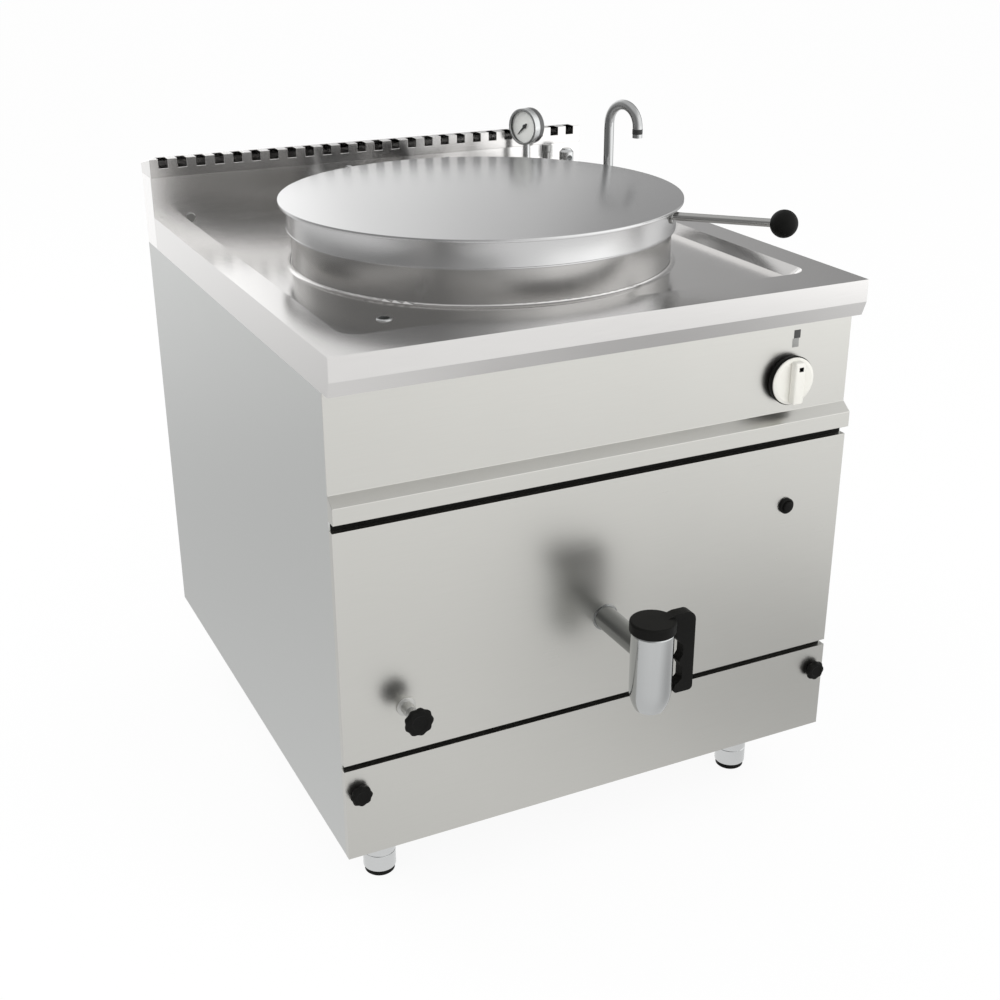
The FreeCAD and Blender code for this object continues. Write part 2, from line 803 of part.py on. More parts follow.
def build_worktop():
    """Pressed top: bevelled front edge, sunk deck with sloping sides and a collar round the pan."""
    fascia = d.top_height - d.fascia_drop
    inset = d.top_skin
    outer = [
        (FRONT, d.top_height), (FRONT, fascia), (FRONT + d.bevel_back, FASCIA_FOOT),
        (FLUE_FRONT, FASCIA_FOOT), (FLUE_FRONT, d.top_height),
    ]
    inner = [
        (FRONT + inset, d.top_height - inset), (FRONT + inset, fascia),
        (FRONT + d.bevel_back + inset, FASCIA_FOOT - 1), (FLUE_FRONT - inset, FASCIA_FOOT - 1),
        (FLUE_FRONT - inset, d.top_height - inset),
    ]
    shell = cut(
        "top_shell",
        extruded("top_outer", "YZ_Plane", outer, HALF * 2, (0, 0, 0)),
        [extruded("top_inner", "YZ_Plane", inner, (HALF - inset) * 2, (0, 0, 0))],
    )
    fold = box(
        "top_fold", (-HALF, FRONT + d.bevel_back, FASCIA_FOOT), (HALF, SIDE_FRONT, FASCIA_FOOT + inset)
    )
    basin = recess_loft("recess_outside", inset, FLUE_FRONT, d.top_height - inset / 2, DECK - inset)
    collar_inside = PAN_OUTSIDE + d.seat_gap
    collar = turned(
        "pan_collar",
        [
            (collar_inside, DECK - d.top_skin), (collar_inside + d.collar_width, DECK - d.top_skin),
            (collar_inside + d.collar_width, DECK),
            (collar_inside + 1, DECK + d.collar_width, -d.collar_width),
            (collar_inside, DECK + d.collar_width),
        ],
        (0, PAN_Y, 0),
    )
    hollow = recess_loft("recess_inside", Size.of(0), FLUE_FRONT + 1, d.top_height + 1, DECK)
    opened = cut("top_opened", fuse("top_pressing", [shell, fold, basin]), [hollow])
    well = rod("pan_well", (0, PAN_Y, DECK - 20), collar_inside + d.collar_width / 2, 40)
    joined = fuse("top_with_collar", [cut("top_drilled", opened, [well]), collar])
    holes = [
        rod("riser_hole", (RISER_X, GROUP_Y, DECK - 10), d.riser_radius + d.seat_gap, 20),
        rod("spout_hole", (SPOUT_X, SPOUT_Y, DECK - 10), d.spout_radius + d.seat_gap, 20),
        rod("spill_hole", (SPILL_X, SPILL_Y, DECK - 10), d.spill_bore + 2, 20),
    ]
    piece("worktop", cut("worktop", joined, holes))


def build_flue():
    """Flue housing behind the worktop and the slotted cover on top of it."""
    shell = box("flue_shell", (-HALF, FLUE_FRONT, FASCIA_FOOT), (HALF, BACK, GRILLE_FOOT))
    hollow = box(
        "flue_hollow",
        (-INNER_HALF, FLUE_FRONT + d.skin, FASCIA_FOOT - 1),
        (INNER_HALF, BACK - d.skin, GRILLE_FOOT + 1),
    )
    plug_hole = rod(
        "flue_plug_hole", (COVER_PLUG_X, FLUE_FRONT - PASS, COVER_PLUG_Z), d.cover_plug_radius - 2,
        d.skin + PASS * 2, TO_BACK,
    )
    piece("flue_housing", cut("flue_housing", shell, [hollow, plug_hole]))

    body = new_body("flue_grille")
    front = FLUE_FRONT - d.grille_overhang
    pad = body.newObject("PartDesign::Pad", "grille_hood")
    outside = rectangle(-HALF, front, HALF, BACK)
    pad.Profile = draw(new_sketch(body, "grille_outline", "XY_Plane", GRILLE_FOOT), outside)
    bind(pad, {"Length": d.grille_band})
    doc.recompute()
    hollow = body.newObject("PartDesign::Pocket", "grille_hollow")
    wall = d.grille_skin
    inside = rectangle(-HALF + wall, front + wall, HALF - wall, BACK - wall)
    hollow.Profile = draw(new_sketch(body, "grille_inside", "XY_Plane", GRILLE_FOOT), inside)
    hollow.Reversed = True
    bind(hollow, {"Length": d.grille_band - wall})
    doc.recompute()
    slot = body.newObject("PartDesign::Pocket", "grille_slot")
    first = d.slot_end_inset - HALF
    left = first - d.slot_width / 2
    mouth = rectangle(left, front - 1, left + d.slot_width, front + d.slot_run)
    slot.Profile = draw(new_sketch(body, "slot_outline", "XY_Plane", FLUE_TOP), mouth)
    bind(slot, {"Length": d.slot_drop})
    doc.recompute()
    row = body.newObject("PartDesign::LinearPattern", "grille_slots")
    row.Originals = [slot]
    row.Direction = (origin_plane(body, "X_Axis"), [""])
    bind(row, {"Length": -first * 2, "Occurrences": d.slot_count})
    body.Tip = row
    piece("flue_grille", place(body, (0, 0, 0)))

    head = [
        (0, -d.skin - 2), (d.cover_plug_radius - 2 - d.running_gap, -d.skin - 2),
        (d.cover_plug_radius - 2 - d.running_gap, 0), (d.cover_plug_radius, 0),
        (d.cover_plug_radius, 1), (d.cover_plug_radius - 1.5, 2.5), (0, 2.5),
    ]
    piece("cover_plug", turned("cover_plug", head, (COVER_PLUG_X, FLUE_FRONT, COVER_PLUG_Z), TO_FRONT))


# Pan, steam jacket and fire chamber


def build_pan():
    """Round pan with a dished floor, a rolled rim and the outlet hole low in its front wall."""
    floor = PAN_FLOOR
    wall = d.pan_wall
    corner = d.pan_corner
    inner = d.pan_radius
    outline = [
        (0, floor - d.pan_dish), (inner - corner, floor), (inner, floor + corner, corner), (inner, PAN_RIM),
        (PAN_OUTSIDE + d.pan_lip, PAN_RIM), (PAN_OUTSIDE + d.pan_lip, PAN_RIM - 4),
        (PAN_OUTSIDE, PAN_RIM - 4),
        (PAN_OUTSIDE, floor + corner), (inner - corner, floor - wall, -(corner + wall)),
        (0, floor - wall - d.pan_dish),
    ]
    shell = turned("pan_shell", outline, (0, PAN_Y, 0))
    bore = d.drain_pipe_radius + d.running_gap
    outlet = rod("pan_outlet", (0, PAN_Y, TAP_Z), bore, PAN_OUTSIDE + PASS, TO_FRONT)
    piece("pan", cut("pan", shell, [outlet]))


def build_jacket():
    """Welded steam jacket round the lower pan, with holes for the outlet, level and safety pipes."""
    outer = JACKET
    wall = d.jacket_wall
    inner = outer - wall
    neck = PAN_OUTSIDE + d.running_gap
    floor = d.jacket_floor
    corner = d.pan_corner
    outline = [
        (0, floor), (inner - corner, floor), (outer, floor + corner + wall, corner + wall),
        (outer, JACKET_TOP),
        (neck, JACKET_TOP), (neck, JACKET_TOP - wall), (inner, JACKET_TOP - wall),
        (inner, floor + corner + wall), (inner - corner, floor + wall, -corner), (0, floor + wall),
    ]
    shell = turned("jacket_shell", outline, (0, PAN_Y, 0))
    bore = d.drain_pipe_radius + d.running_gap
    tools = [rod("jacket_outlet", (0, PAN_Y, TAP_Z), bore, outer + PASS, TO_FRONT)]
    tools.append(level_pipe_solid("jacket_level_cut", d.level_pipe_radius + d.running_gap))
    tools.append(riser_solid("jacket_riser_cut", d.riser_radius + d.running_gap))
    piece("steam_jacket", cut("steam_jacket", shell, tools))


def build_fire_chamber():
    """Shroud that leads the hot gas up round the jacket, its lagging and the duct to the flue."""
    inner = SHROUD
    outer = inner + d.skin
    top = SHROUD_TOP
    shell = turned(
        "shroud_shell",
        [
            (inner, SHROUD_FLOOR), (outer, SHROUD_FLOOR), (outer, top), (JACKET + d.seat_gap, top),
            (JACKET + d.seat_gap, top - d.skin), (inner, top - d.skin),
        ],
        (0, PAN_Y, 0),
    )
    lag_inner = outer + d.running_gap
    lag = turned(
        "lagging_shell", rectangle(lag_inner, SHROUD_FLOOR + 2, lag_inner + d.lagging, top), (0, PAN_Y, 0)
    )
    duct_low = (-d.duct_width / 2, PAN_Y, DUCT_FLOOR)
    duct_high = (d.duct_width / 2, LEG_BACK_Y, DUCT_FLOOR + d.duct_height)
    for name, shape, gap in (("flue_shroud", shell, 0), ("lagging", lag, d.seat_gap)):
        reach = lag_inner + d.lagging + PASS
        tools = [
            rod(f"{name}_outlet", (0, PAN_Y, TAP_Z), d.drain_pipe_radius + d.seat_gap, reach, TO_FRONT),
            level_pipe_solid(f"{name}_level_cut", d.level_pipe_radius + d.seat_gap),
            box(
                f"{name}_duct_cut",
                tuple(c + gap * s for c, s in zip(duct_low, (-1, 1, -1))),
                tuple(c + gap * s for c, s in zip(duct_high, (1, 1, 1))),
            ),
        ]
        piece(name, cut(name, shape, tools))

    duct_back = BACK_SHEET - d.skin
    duct_front = FLUE_FRONT + d.skin + d.seat_gap
    wide = d.duct_width / 2
    outer_shape = fuse(
        "duct_outer",
        [
            box("duct_neck", duct_low, (wide, duct_back, DUCT_FLOOR + d.duct_height)),
            box("duct_stack", (-wide, duct_front, DUCT_FLOOR), (wide, duct_back, FASCIA_FOOT)),
        ],
    )
    skin = d.skin
    inner_shape = fuse(
        "duct_inner",
        [
            box(
                "duct_neck_inside", (-wide + skin, PAN_Y - 1, DUCT_FLOOR + skin),
                (wide - skin, duct_back - skin, DUCT_FLOOR + d.duct_height - skin),
            ),
            box(
                "duct_stack_inside", (-wide + skin, duct_front + skin, DUCT_FLOOR + skin),
                (wide - skin, duct_back - skin, FASCIA_FOOT + 1),
            ),
        ],
    )
    core = rod("duct_core", (0, PAN_Y, SHROUD_FLOOR), outer + d.running_gap, top - SHROUD_FLOOR + 10)
    piece("flue_duct", cut("flue_duct", outer_shape, [inner_shape, core]))


# Burner and gas line


def build_burner():
    """Ring burner with flame ports and a cross tube, on four posts."""
    tube = d.burner_tube
    level = BURNER_Z
    ring = doc.addObject("Part::Torus", "burner_ring")
    bind(ring, {"Radius1": d.burner_radius, "Radius2": tube})
    place(ring, (0, PAN_Y, level))
    feed = rod("burner_feed", (-d.burner_radius, PAN_Y, level), tube * 0.7, d.burner_radius * 2, TO_RIGHT)
    hub = rod("burner_hub", (0, PAN_Y, level - tube * 1.6), tube, tube * 2.4)
    parts = [ring, feed, hub]
    for i, (sx, sy) in enumerate(((-1, -1), (1, -1), (1, 1), (-1, 1))):
        foot = (d.post_reach * sx, PAN_Y + d.post_reach * sy, FRAME_TOP)
        parts.append(rod(f"burner_post_{i}", foot, d.post_radius, Size.of(level) - FRAME_TOP - tube / 2))
    ports = []
    for i in range(int(d.port_count.value)):
        angle = math.radians(360 * (i + 0.5) / d.port_count.value)
        spot = (d.burner_radius * math.cos(angle), PAN_Y + d.burner_radius * math.sin(angle), level + tube / 2)
        ports.append(rod(f"flame_port_{i}", spot, d.port_radius, tube))
    piece("burner", cut("burner", fuse("burner_casting", parts), ports))


def nipple(name, offset):
    """Half-inch connection end on a pipe of either service."""
    outline = [
        (d.nipple_radius - 3, 0), (d.nipple_radius - 1, 0), (d.nipple_radius, 1),
        (d.nipple_radius, d.nipple_length),
        (d.nipple_radius - 3, d.nipple_length),
    ]
    return turned(name, outline, (offset, INLET_Y, INLET_Z))


def build_gas_line():
    """Gas pipe from the rear inlet, the control valve, and the pipe from the valve to the burner."""
    bend = d.pipe_bend
    rise = GAS_RUN_Z - INLET_Z
    pipe_y = VALVE_FRONT + d.valve_depth / 2
    run = INLET_Y - pipe_y
    top = VALVE_FOOT - INLET_Z
    # the route lies in the Y-Z plane: local X points to the front once the body is turned
    route = [
        (0, 0), (0, rise - bend), (bend, rise, -bend), (run - bend, rise), (run, rise + bend, bend),
        (run, top),
    ]
    side_on = FreeCAD.Rotation(Z_AXIS, -90)
    at = (GAS_X, INLET_Y, INLET_Z)
    bore = d.gas_pipe_radius - d.gas_pipe_wall
    run_tube = bent_tube("gas_tube", route, d.gas_pipe_radius, bore, at, side_on)
    piece("gas_pipe", fuse("gas_pipe", [run_tube, nipple("gas_nipple", GAS_X)]))

    left = KNOB_X - d.valve_width / 2
    right = GAS_X + d.gas_pipe_radius + 4
    block = box(
        "valve_block", (left, VALVE_FRONT, VALVE_FOOT),
        (right, VALVE_FRONT + d.valve_depth, KNOB_Z + d.valve_height / 2),
    )
    bore = rod(
        "valve_stem_bore", (KNOB_X, VALVE_FRONT - 1, KNOB_Z),
        d.valve_stem_radius + d.running_gap, d.valve_depth * 0.7, TO_BACK,
    )
    piece("gas_valve", cut("gas_valve", block, [bore]))

    start_x = KNOB_X - d.valve_width / 4
    dx = -start_x.value
    dy = (PAN_Y - pipe_y).value
    heading = math.degrees(math.atan2(dy, dx))
    length = math.hypot(dx, dy)
    hub_foot = BURNER_Z - d.burner_tube * 1.6
    drop = VALVE_FOOT - GAS_RUN_Z
    climb = hub_foot - GAS_RUN_Z
    small = Size.of(climb) - 6
    route = [
        (0, 0), (0, drop - bend), (bend, drop, -bend), (length - small, drop),
        (length, drop - small, -small), (length, drop - climb),
    ]
    # the body is upside down, so its route runs downwards from the valve
    turn = FreeCAD.Rotation(Z_AXIS, heading).multiply(UPSIDE_DOWN)
    at = (start_x, pipe_y, VALVE_FOOT)
    piece("burner_pipe", bent_tube("burner_pipe", route, d.burner_pipe_radius, None, at, turn))


# Controls


def build_selector():
    """Selector knob: dark base ring with its valve stem, and a pale disc with a finger grip."""
    front = CONTROL_FACE - d.knob_gap
    stem_reach = d.knob_gap + d.skin + d.valve_depth * 0.6
    radius = d.knob_radius
    ring = [
        (0, -stem_reach), (d.valve_stem_radius, -stem_reach), (d.valve_stem_radius, 0), (radius, 0),
        (radius, d.knob_ring - 1.5), (radius - 1.5, d.knob_ring), (0, d.knob_ring),
    ]
    at = (KNOB_X, front, KNOB_Z)
    piece("selector_stem", turned("selector_stem", ring, at, TO_FRONT))
    face = d.knob_ring
    disc_edge = radius - 1.5
    disc = turned(
        "selector_disc",
        [
            (0, face), (disc_edge, face), (disc_edge, face + 1), (disc_edge - 5, face + d.knob_disc),
            (0, face + d.knob_disc),
        ],
        at, TO_FRONT,
    )
    top = face + d.knob_disc + d.grip_height
    narrow = d.grip_width / 2 - 2
    wide = d.grip_width / 2
    grip_profile = [
        (-wide, face + 1), (wide, face + 1), (narrow, top - 3), (narrow - 3, top, 3), (3 - narrow, top),
        (-narrow, top - 3, 3),
    ]
    grip = extruded("selector_grip", "XZ_Plane", grip_profile, d.grip_length, at, TO_FRONT)
    bound = rod("grip_bound", (KNOB_X, front, KNOB_Z), d.grip_length / 2, top + 1, TO_FRONT)
    piece("selector_knob", fuse("selector_knob", [disc, common("grip_round", grip, bound)]))


def build_igniter():
    """Push-button igniter: body with its bezel, and the sprung button."""
    at = (BUTTON_X, PANEL_FACE, BUTTON_Z)
    sleeve = d.button_radius + 1 - d.running_gap
    bore = d.button_radius - 1
    outline = [
        (bore, -d.button_travel - 6), (bore, d.bezel_height), (d.bezel_radius - 1, d.bezel_height),
        (d.bezel_radius, d.bezel_height - 1), (d.bezel_radius, 0), (sleeve, 0), (sleeve, -d.igniter_length),
        (0, -d.igniter_length), (0, -d.button_travel - 6),
    ]
    piece("igniter", turned("igniter", outline, at, TO_FRONT))
    cap = bore - 2 * d.running_gap
    top = d.bezel_height + d.button_travel + 1
    button = [(0, -1), (cap, -1), (cap, top - 1.5), (cap - 1.5, top), (0, top)]
    piece("igniter_button", turned("igniter_button", button, at, TO_FRONT))


def fluted(name, radius, height, flutes, at, rotation):
    """A round hand knob with flutes round its rim."""
    body = new_body(name)
    pad = body.newObject("PartDesign::Pad", name + "_pad")
    sketch = new_sketch(body, name + "_rim", "XY_Plane")
    draw_circle(sketch, (0, 0), radius)
    pad.Profile = sketch
    bind(pad, {"Length": height})
    doc.recompute()
    flute = body.newObject("PartDesign::Pocket", name + "_flute")
    cutter = new_sketch(body, name + "_flute_outline", "XY_Plane", height)
    draw_circle(cutter, (radius * 1.1, 0), radius * 0.22)
    flute.Profile = cutter
    bind(flute, {"Length": height})
    doc.recompute()
    ring = body.newObject("PartDesign::PolarPattern", name + "_flutes")
    ring.Originals = [flute]
    ring.Axis = (origin_plane(body, "Z_Axis"), [""])
    ring.Angle = 360
    ring.Occurrences = flutes
    body.Tip = ring
    return place(body, at, rotation)


def build_kick_knobs():
    """Two hand screws that hold the kick panel to the corner posts."""
    for side, sign in (("left", -1), ("right", 1)):
        offset = KICK_KNOB_X * sign
        head_at = (offset, PANEL_FACE - 1, KICK_KNOB_Z)
        name = f"kick_knob_{side}"
        head = fluted(name + "_head", d.kick_knob_radius, d.kick_knob_height, 8, head_at, TO_FRONT)
        screw = rod(name + "_screw", (offset, PANEL_FACE - 3, KICK_KNOB_Z),
                    d.kick_screw_radius, d.kick_screw_reach, TO_BACK)
        piece(name, fuse(name, [head, screw]))


# Draw-off tap


def build_tap():
    """Draw-off tap: pipe from the pan, body with a tapered mouth, turning plug and hooked handle."""
    pipe_start = PAN_Y - d.pan_radius + 2.5
    pipe_end = TAP_Y + d.plug_radius + 3
    radius = d.drain_pipe_radius
    length = pipe_start - pipe_end
    pipe = turned(
        "drain_tube", rectangle(radius - d.drain_pipe_wall, 0, radius, length),
        (0, pipe_start, TAP_Z), TO_FRONT,
    )
    rosette = turned(
        "drain_rosette", rectangle(radius - 1, 0, radius + 10, 3), (0, PANEL_FACE, TAP_Z), TO_FRONT
    )
    piece("drain_pipe", fuse("drain_pipe", [pipe, rosette]))

    round_off = TAP_SHOULDER - TAP_MOUTH
    outline = [
        (d.tap_bore, TAP_MOUTH), (d.tap_mouth_radius, TAP_MOUTH),
        (d.tap_radius, TAP_SHOULDER, round_off * 1.8), (d.tap_radius, TAP_TOP),
        (d.plug_radius, TAP_TOP), (d.plug_radius, PLUG_FLOOR), (d.tap_bore, PLUG_FLOOR),
    ]
    casting = turned("tap_casting", outline, (0, TAP_Y, 0))
    inlet = rod("tap_inlet", (0, TAP_Y, TAP_Z), d.tap_bore, d.tap_radius + 5, TO_BACK)
    socket = rod("tap_socket", (0, pipe_end - d.running_gap, TAP_Z), radius + d.running_gap, 20, TO_BACK)
    piece("tap_body", cut("tap_body", casting, [inlet, socket]))

    plug_radius = d.plug_radius - d.running_gap
    plug_foot = PLUG_FLOOR + d.seat_gap
    cap_foot = TAP_TOP + d.seat_gap
    stem_top = cap_foot + d.cap_height - 5
    plug = turned(
        "plug_blank",
        [
            (0, plug_foot), (plug_radius, plug_foot), (plug_radius, TAP_TOP - 1),
            (d.stem_radius, TAP_TOP - 1),
            (d.stem_radius, stem_top), (0, stem_top),
        ],
        (0, TAP_Y, 0),
    )
    waterway = d.tap_bore - 1
    side_port = rod("plug_port", (0, TAP_Y, TAP_Z), waterway, plug_radius + 1, FreeCAD.Rotation(Y_AXIS, -90))
    down_port = rod("plug_outlet", (0, TAP_Y, plug_foot - 1), waterway, TAP_Z - plug_foot + 1)
    piece("tap_plug", cut("tap_plug", plug, [side_port, down_port]))

    build_tap_handle(cap_foot, stem_top)


def build_tap_handle(cap_foot, stem_top):
    """Moulded handle: round cap over the tap and a hooked arm with finger bumps."""
    cap_top = cap_foot + d.cap_height
    arm_top = cap_top + d.lever_rise
    edge = 3
    cap = turned(
        "handle_cap",
        [
            (d.stem_radius + d.running_gap, cap_foot), (d.cap_radius - 1, cap_foot),
            (d.cap_radius, cap_foot + 1),
            (d.cap_radius, cap_top - edge), (d.cap_radius - edge, cap_top, edge), (0, cap_top),
            (0, stem_top + d.seat_gap), (d.stem_radius + d.running_gap, stem_top + d.seat_gap),
        ],
        (0, TAP_Y, 0),
    )
    inner = d.lever_inner
    outer = d.lever_outer
    crown = d.lever_crown
    bump = d.lever_bump
    reach = d.bump_reach
    middle = arm_top - d.bump_pitch
    foot = TAP_SHOULDER - d.lever_drop
    toe = foot + d.lever_toe
    tip = d.tap_radius + d.toe_clear
    web = arm_top - d.lever_web
    root = d.cap_radius - edge
    outline = [
        (root, cap_foot + 1), (tip, cap_foot + 1), (tip, web + 8), (inner - 6, web), (inner, web - 6),
        (inner, middle + reach), (inner - bump, middle), (inner, middle - reach), (inner, toe + 5),
        (inner - 5, toe),
        (tip + 2, toe - 3), (tip, toe - 6), (tip, foot + 4), (tip + 4, foot, 4), (outer - 6, foot),
        (outer, foot + 6, 6), (outer, arm_top - crown), (outer - crown, arm_top, crown),
        (inner - 12, arm_top),
        (root - 12, cap_top - 0.5), (root - 12, cap_top - edge), (root, cap_top - edge),
    ]
    arm = extruded("handle_arm", "XZ_Plane", outline, d.lever_width, (0, TAP_Y, 0))
    piece("tap_handle", fuse("tap_handle", [cap, arm]))


# Level cock


def level_pipe_solid(name, radius, bore=None):
    """Pipe from the back of the level cock into the jacket's side, near its floor."""
    angle = math.radians(45)
    lean = math.sin(angle)
    bend = d.level_pipe_bend
    swing = bend * (1 - math.cos(angle))
    ahead = bend * lean
    straight = d.level_pipe_run
    slant = d.level_pipe_slant
    route = [
        (0, 0), (0, straight), (swing, straight + ahead, -bend),
        (swing + slant * lean, straight + ahead + slant * lean),
    ]
    # local Z runs to the back and local X to the right
    return bent_tube(name, route, radius, bore, (COCK_X, COCK_BACK, COCK_Z), TO_BACK)


def build_level_cock():
    """Level cock: pipe to the jacket, body through the front panel, and hand knob on its spindle."""
    pipe = level_pipe_solid("level_tube", d.level_pipe_radius, d.level_pipe_radius - d.level_pipe_wall)
    inside = JACKET - d.jacket_wall - 1
    core = rod("jacket_core", (0, PAN_Y, d.jacket_floor), inside, JACKET_TOP - d.jacket_floor)
    piece("level_pipe", cut("level_pipe", pipe, [core]))

    neck = d.cock_neck_reach
    bore = d.cock_spindle_radius + d.running_gap
    rear = d.skin + d.cock_body_length
    seat = neck - 34
    outline = [
        (bore, seat), (bore, neck), (d.cock_neck_radius - 1, neck), (d.cock_neck_radius, neck - 1),
        (d.cock_neck_radius, -d.skin), (d.cock_body_radius, -d.skin), (d.cock_body_radius, -rear),
        (0, -rear), (0, seat),
    ]
    at = (COCK_X, PANEL_FACE, COCK_Z)
    piece("level_cock", turned("level_cock", outline, at, TO_FRONT))
    head_from = d.cock_knob_reach - d.cock_knob_height / 2
    head_at = (COCK_X, PANEL_FACE - head_from, COCK_Z)
    head = fluted("cock_knob_head", d.cock_knob_radius, d.cock_knob_height, 9, head_at, TO_FRONT)
    socket = rod(
        "cock_knob_socket", head_at, d.cock_spindle_radius + d.running_gap, d.cock_knob_height - 4, TO_FRONT
    )
    piece("level_knob", cut("level_knob", head, [socket]))
    tip = head_from + d.cock_knob_height - 4 - d.seat_gap
    spindle = [(0, seat + 1), (d.cock_spindle_radius, seat + 1), (d.cock_spindle_radius, tip), (0, tip)]
    piece("level_spindle", turned("level_spindle", spindle, at, TO_FRONT))


# Lid and hinge


def build_lid():
    """Flat lid with a hemmed edge and a skirt, its hinge arms, and the side handle with its ball."""
    underside = LID_TOP - d.lid_skin
    skin = d.lid_skin
    outer = LID_RADIUS
    skirt = SKIRT
    edge = 1
    outline = [
        (0, underside), (skirt - skin, underside), (skirt - skin, SKIRT_FOOT), (skirt, SKIRT_FOOT),
        (skirt, underside), (outer - skin, underside), (outer - skin, LID_TOP - d.lid_hem),
        (outer, LID_TOP - d.lid_hem), (outer, LID_TOP - edge), (outer - edge, LID_TOP, edge), (0, LID_TOP),
    ]
    piece("lid", turned("lid", outline, (0, PAN_Y, 0)))

    boss = d.hinge_boss
    level = HINGE_Z
    # the arm's front end is trimmed to the skirt; its outline starts inside it
    start = PAN_Y + SKIRT * 0.9
    arm_low = SKIRT_FOOT + 4
    arm_high = LID_TOP - d.lid_hem - d.seat_gap
    outline = [
        (start, arm_low), (HINGE_Y - boss * 2, arm_low), (HINGE_Y, level - boss),
        (HINGE_Y + boss, level, boss),
        (HINGE_Y, level + boss, boss), (HINGE_Y - boss * 2, arm_high), (start, arm_high),
    ]
    arms = [
        extruded(f"arm_{side}", "YZ_Plane", outline, d.hinge_arm_width, (d.hinge_arm_offset * sign, 0, 0))
        for side, sign in (("left", -1), ("right", 1))
    ]
    trim = rod("skirt_trim", (0, PAN_Y, DECK), SKIRT + d.running_gap, LID_TOP - DECK)
    wide = d.hinge_arm_offset + d.hinge_arm_width
    eye = rod("arm_eye", (-wide, HINGE_Y, level), d.hinge_pin_radius + d.running_gap, wide * 2, TO_RIGHT)
    piece("lid_arms", cut("lid_arms", fuse("arm_pair", arms), [trim, eye]))

    turn = FreeCAD.Rotation(Z_AXIS, -d.handle_angle.value).multiply(TO_RIGHT)
    ux = math.cos(math.radians(d.handle_angle.value))
    uy = -math.sin(math.radians(d.handle_angle.value))
    root = SKIRT + d.running_gap
    depth = d.handle_ball_radius * 0.6
    level = LID_TOP - d.handle_drop
    start = (root * ux, PAN_Y + root * uy, level)
    reach = root + d.handle_run
    length = d.handle_run - depth
    bar = rod("handle_bar", start, d.handle_rod_radius, length, turn)
    washer = rod("handle_washer", start, d.handle_rod_radius + 5, 3, turn)
    piece("lid_handle", fuse("lid_handle", [bar, washer]))
    centre = (reach * ux, PAN_Y + reach * uy, level)
    grip = ball("handle_ball_blank", centre, d.handle_ball_radius)
    socket = rod("handle_ball_socket", start, d.handle_rod_radius + d.running_gap, length + d.seat_gap, turn)
    piece("handle_ball", cut("handle_ball", grip, [socket]))


def build_hinge():
    """Hinge bracket on the worktop behind the pan, with its pin."""
    level = HINGE_Z
    lug_inside = d.hinge_arm_offset + d.hinge_arm_width / 2 + d.hinge_side_gap
    lug_outside = lug_inside + d.hinge_lug_width
    half_depth = d.hinge_foot_reach
    plate_top = DECK + d.hinge_plate
    base = box(
        "hinge_plate_blank", (-lug_outside, HINGE_Y - half_depth, DECK),
        (lug_outside, HINGE_Y + half_depth, plate_top),
    )
    crown = d.hinge_boss + 2
    outline = [
        (HINGE_Y - half_depth, DECK), (HINGE_Y + half_depth, DECK), (HINGE_Y + crown, level),
        (HINGE_Y, level + crown, crown), (HINGE_Y - crown, level, crown),
    ]
    parts = [base]
    for side, sign in (("left", -1), ("right", 1)):
        middle = (lug_inside + d.hinge_lug_width / 2) * sign
        parts.append(extruded(f"hinge_lug_{side}", "YZ_Plane", outline, d.hinge_lug_width, (middle, 0, 0)))
    eye = rod(
        "lug_eye", (-lug_outside - PASS, HINGE_Y, level), d.hinge_pin_radius + d.running_gap,
        (lug_outside + PASS) * 2, TO_RIGHT,
    )
    piece("hinge_bracket", cut("hinge_bracket", fuse("hinge_weldment", parts), [eye]))
    end = lug_outside + d.hinge_pin_end
    outline = [
        (0, 0), (d.hinge_pin_radius - 1, 0), (d.hinge_pin_radius, 1), (d.hinge_pin_radius, end * 2 - 1),
        (d.hinge_pin_radius - 1, end * 2), (0, end * 2),
    ]
    piece("hinge_pin", turned("hinge_pin", outline, (-end, HINGE_Y, level), TO_RIGHT))


# Filling spout and water pipe


def build_spout():
    """Swan-neck filling spout in its swivel nut, and the water pipe under the worktop."""
    radius = d.spout_radius
    bore = radius + d.running_gap
    tail = d.spout_tail
    seat = d.spout_nut_height - d.spout_socket
    nut = d.spout_nut_radius
    outline = [
        (d.spout_bore, -tail), (radius, -tail), (radius, 0), (d.spout_flange_radius, 0),
        (d.spout_flange_radius, 4),
        (nut, 6), (nut, d.spout_nut_height - 1.5), (nut - 1.5, d.spout_nut_height),
        (bore, d.spout_nut_height),
        (bore, seat), (d.spout_bore, seat),
    ]
    at = (SPOUT_X, SPOUT_Y, DECK)
    piece("spout_base", turned("spout_base", outline, at))
    start = seat + d.seat_gap
    rise = d.spout_rise - start
    bend = d.spout_bend
    route = [
        (0, 0), (0, rise), (bend, rise + bend, -bend), (bend * 2, rise, -bend),
        (bend * 2, rise - d.spout_tip),
    ]
    turn = FreeCAD.Rotation(Z_AXIS, -d.spout_angle.value)
    spout = bent_tube("spout", route, radius, d.spout_bore, (SPOUT_X, SPOUT_Y, DECK + start), turn)
    piece("spout", spout)

    curve = d.pipe_bend
    top = DECK - tail
    drop = d.water_run_drop - tail
    run = INLET_Y - SPOUT_Y
    length = top - INLET_Z
    route = [
        (0, 0), (0, drop - curve), (curve, drop, -curve), (run - curve, drop), (run, drop + curve, curve),
        (run, length),
    ]
    # upside down and turned: local X runs to the back
    turn = FreeCAD.Rotation(Z_AXIS, 90).multiply(UPSIDE_DOWN)
    at = (SPOUT_X, SPOUT_Y, top)
    run_tube = bent_tube("water_tube", route, radius, d.spout_bore, at, turn)
    piece("water_pipe", fuse("water_pipe", [run_tube, nipple("water_nipple", SPOUT_X)]))


# Safety group


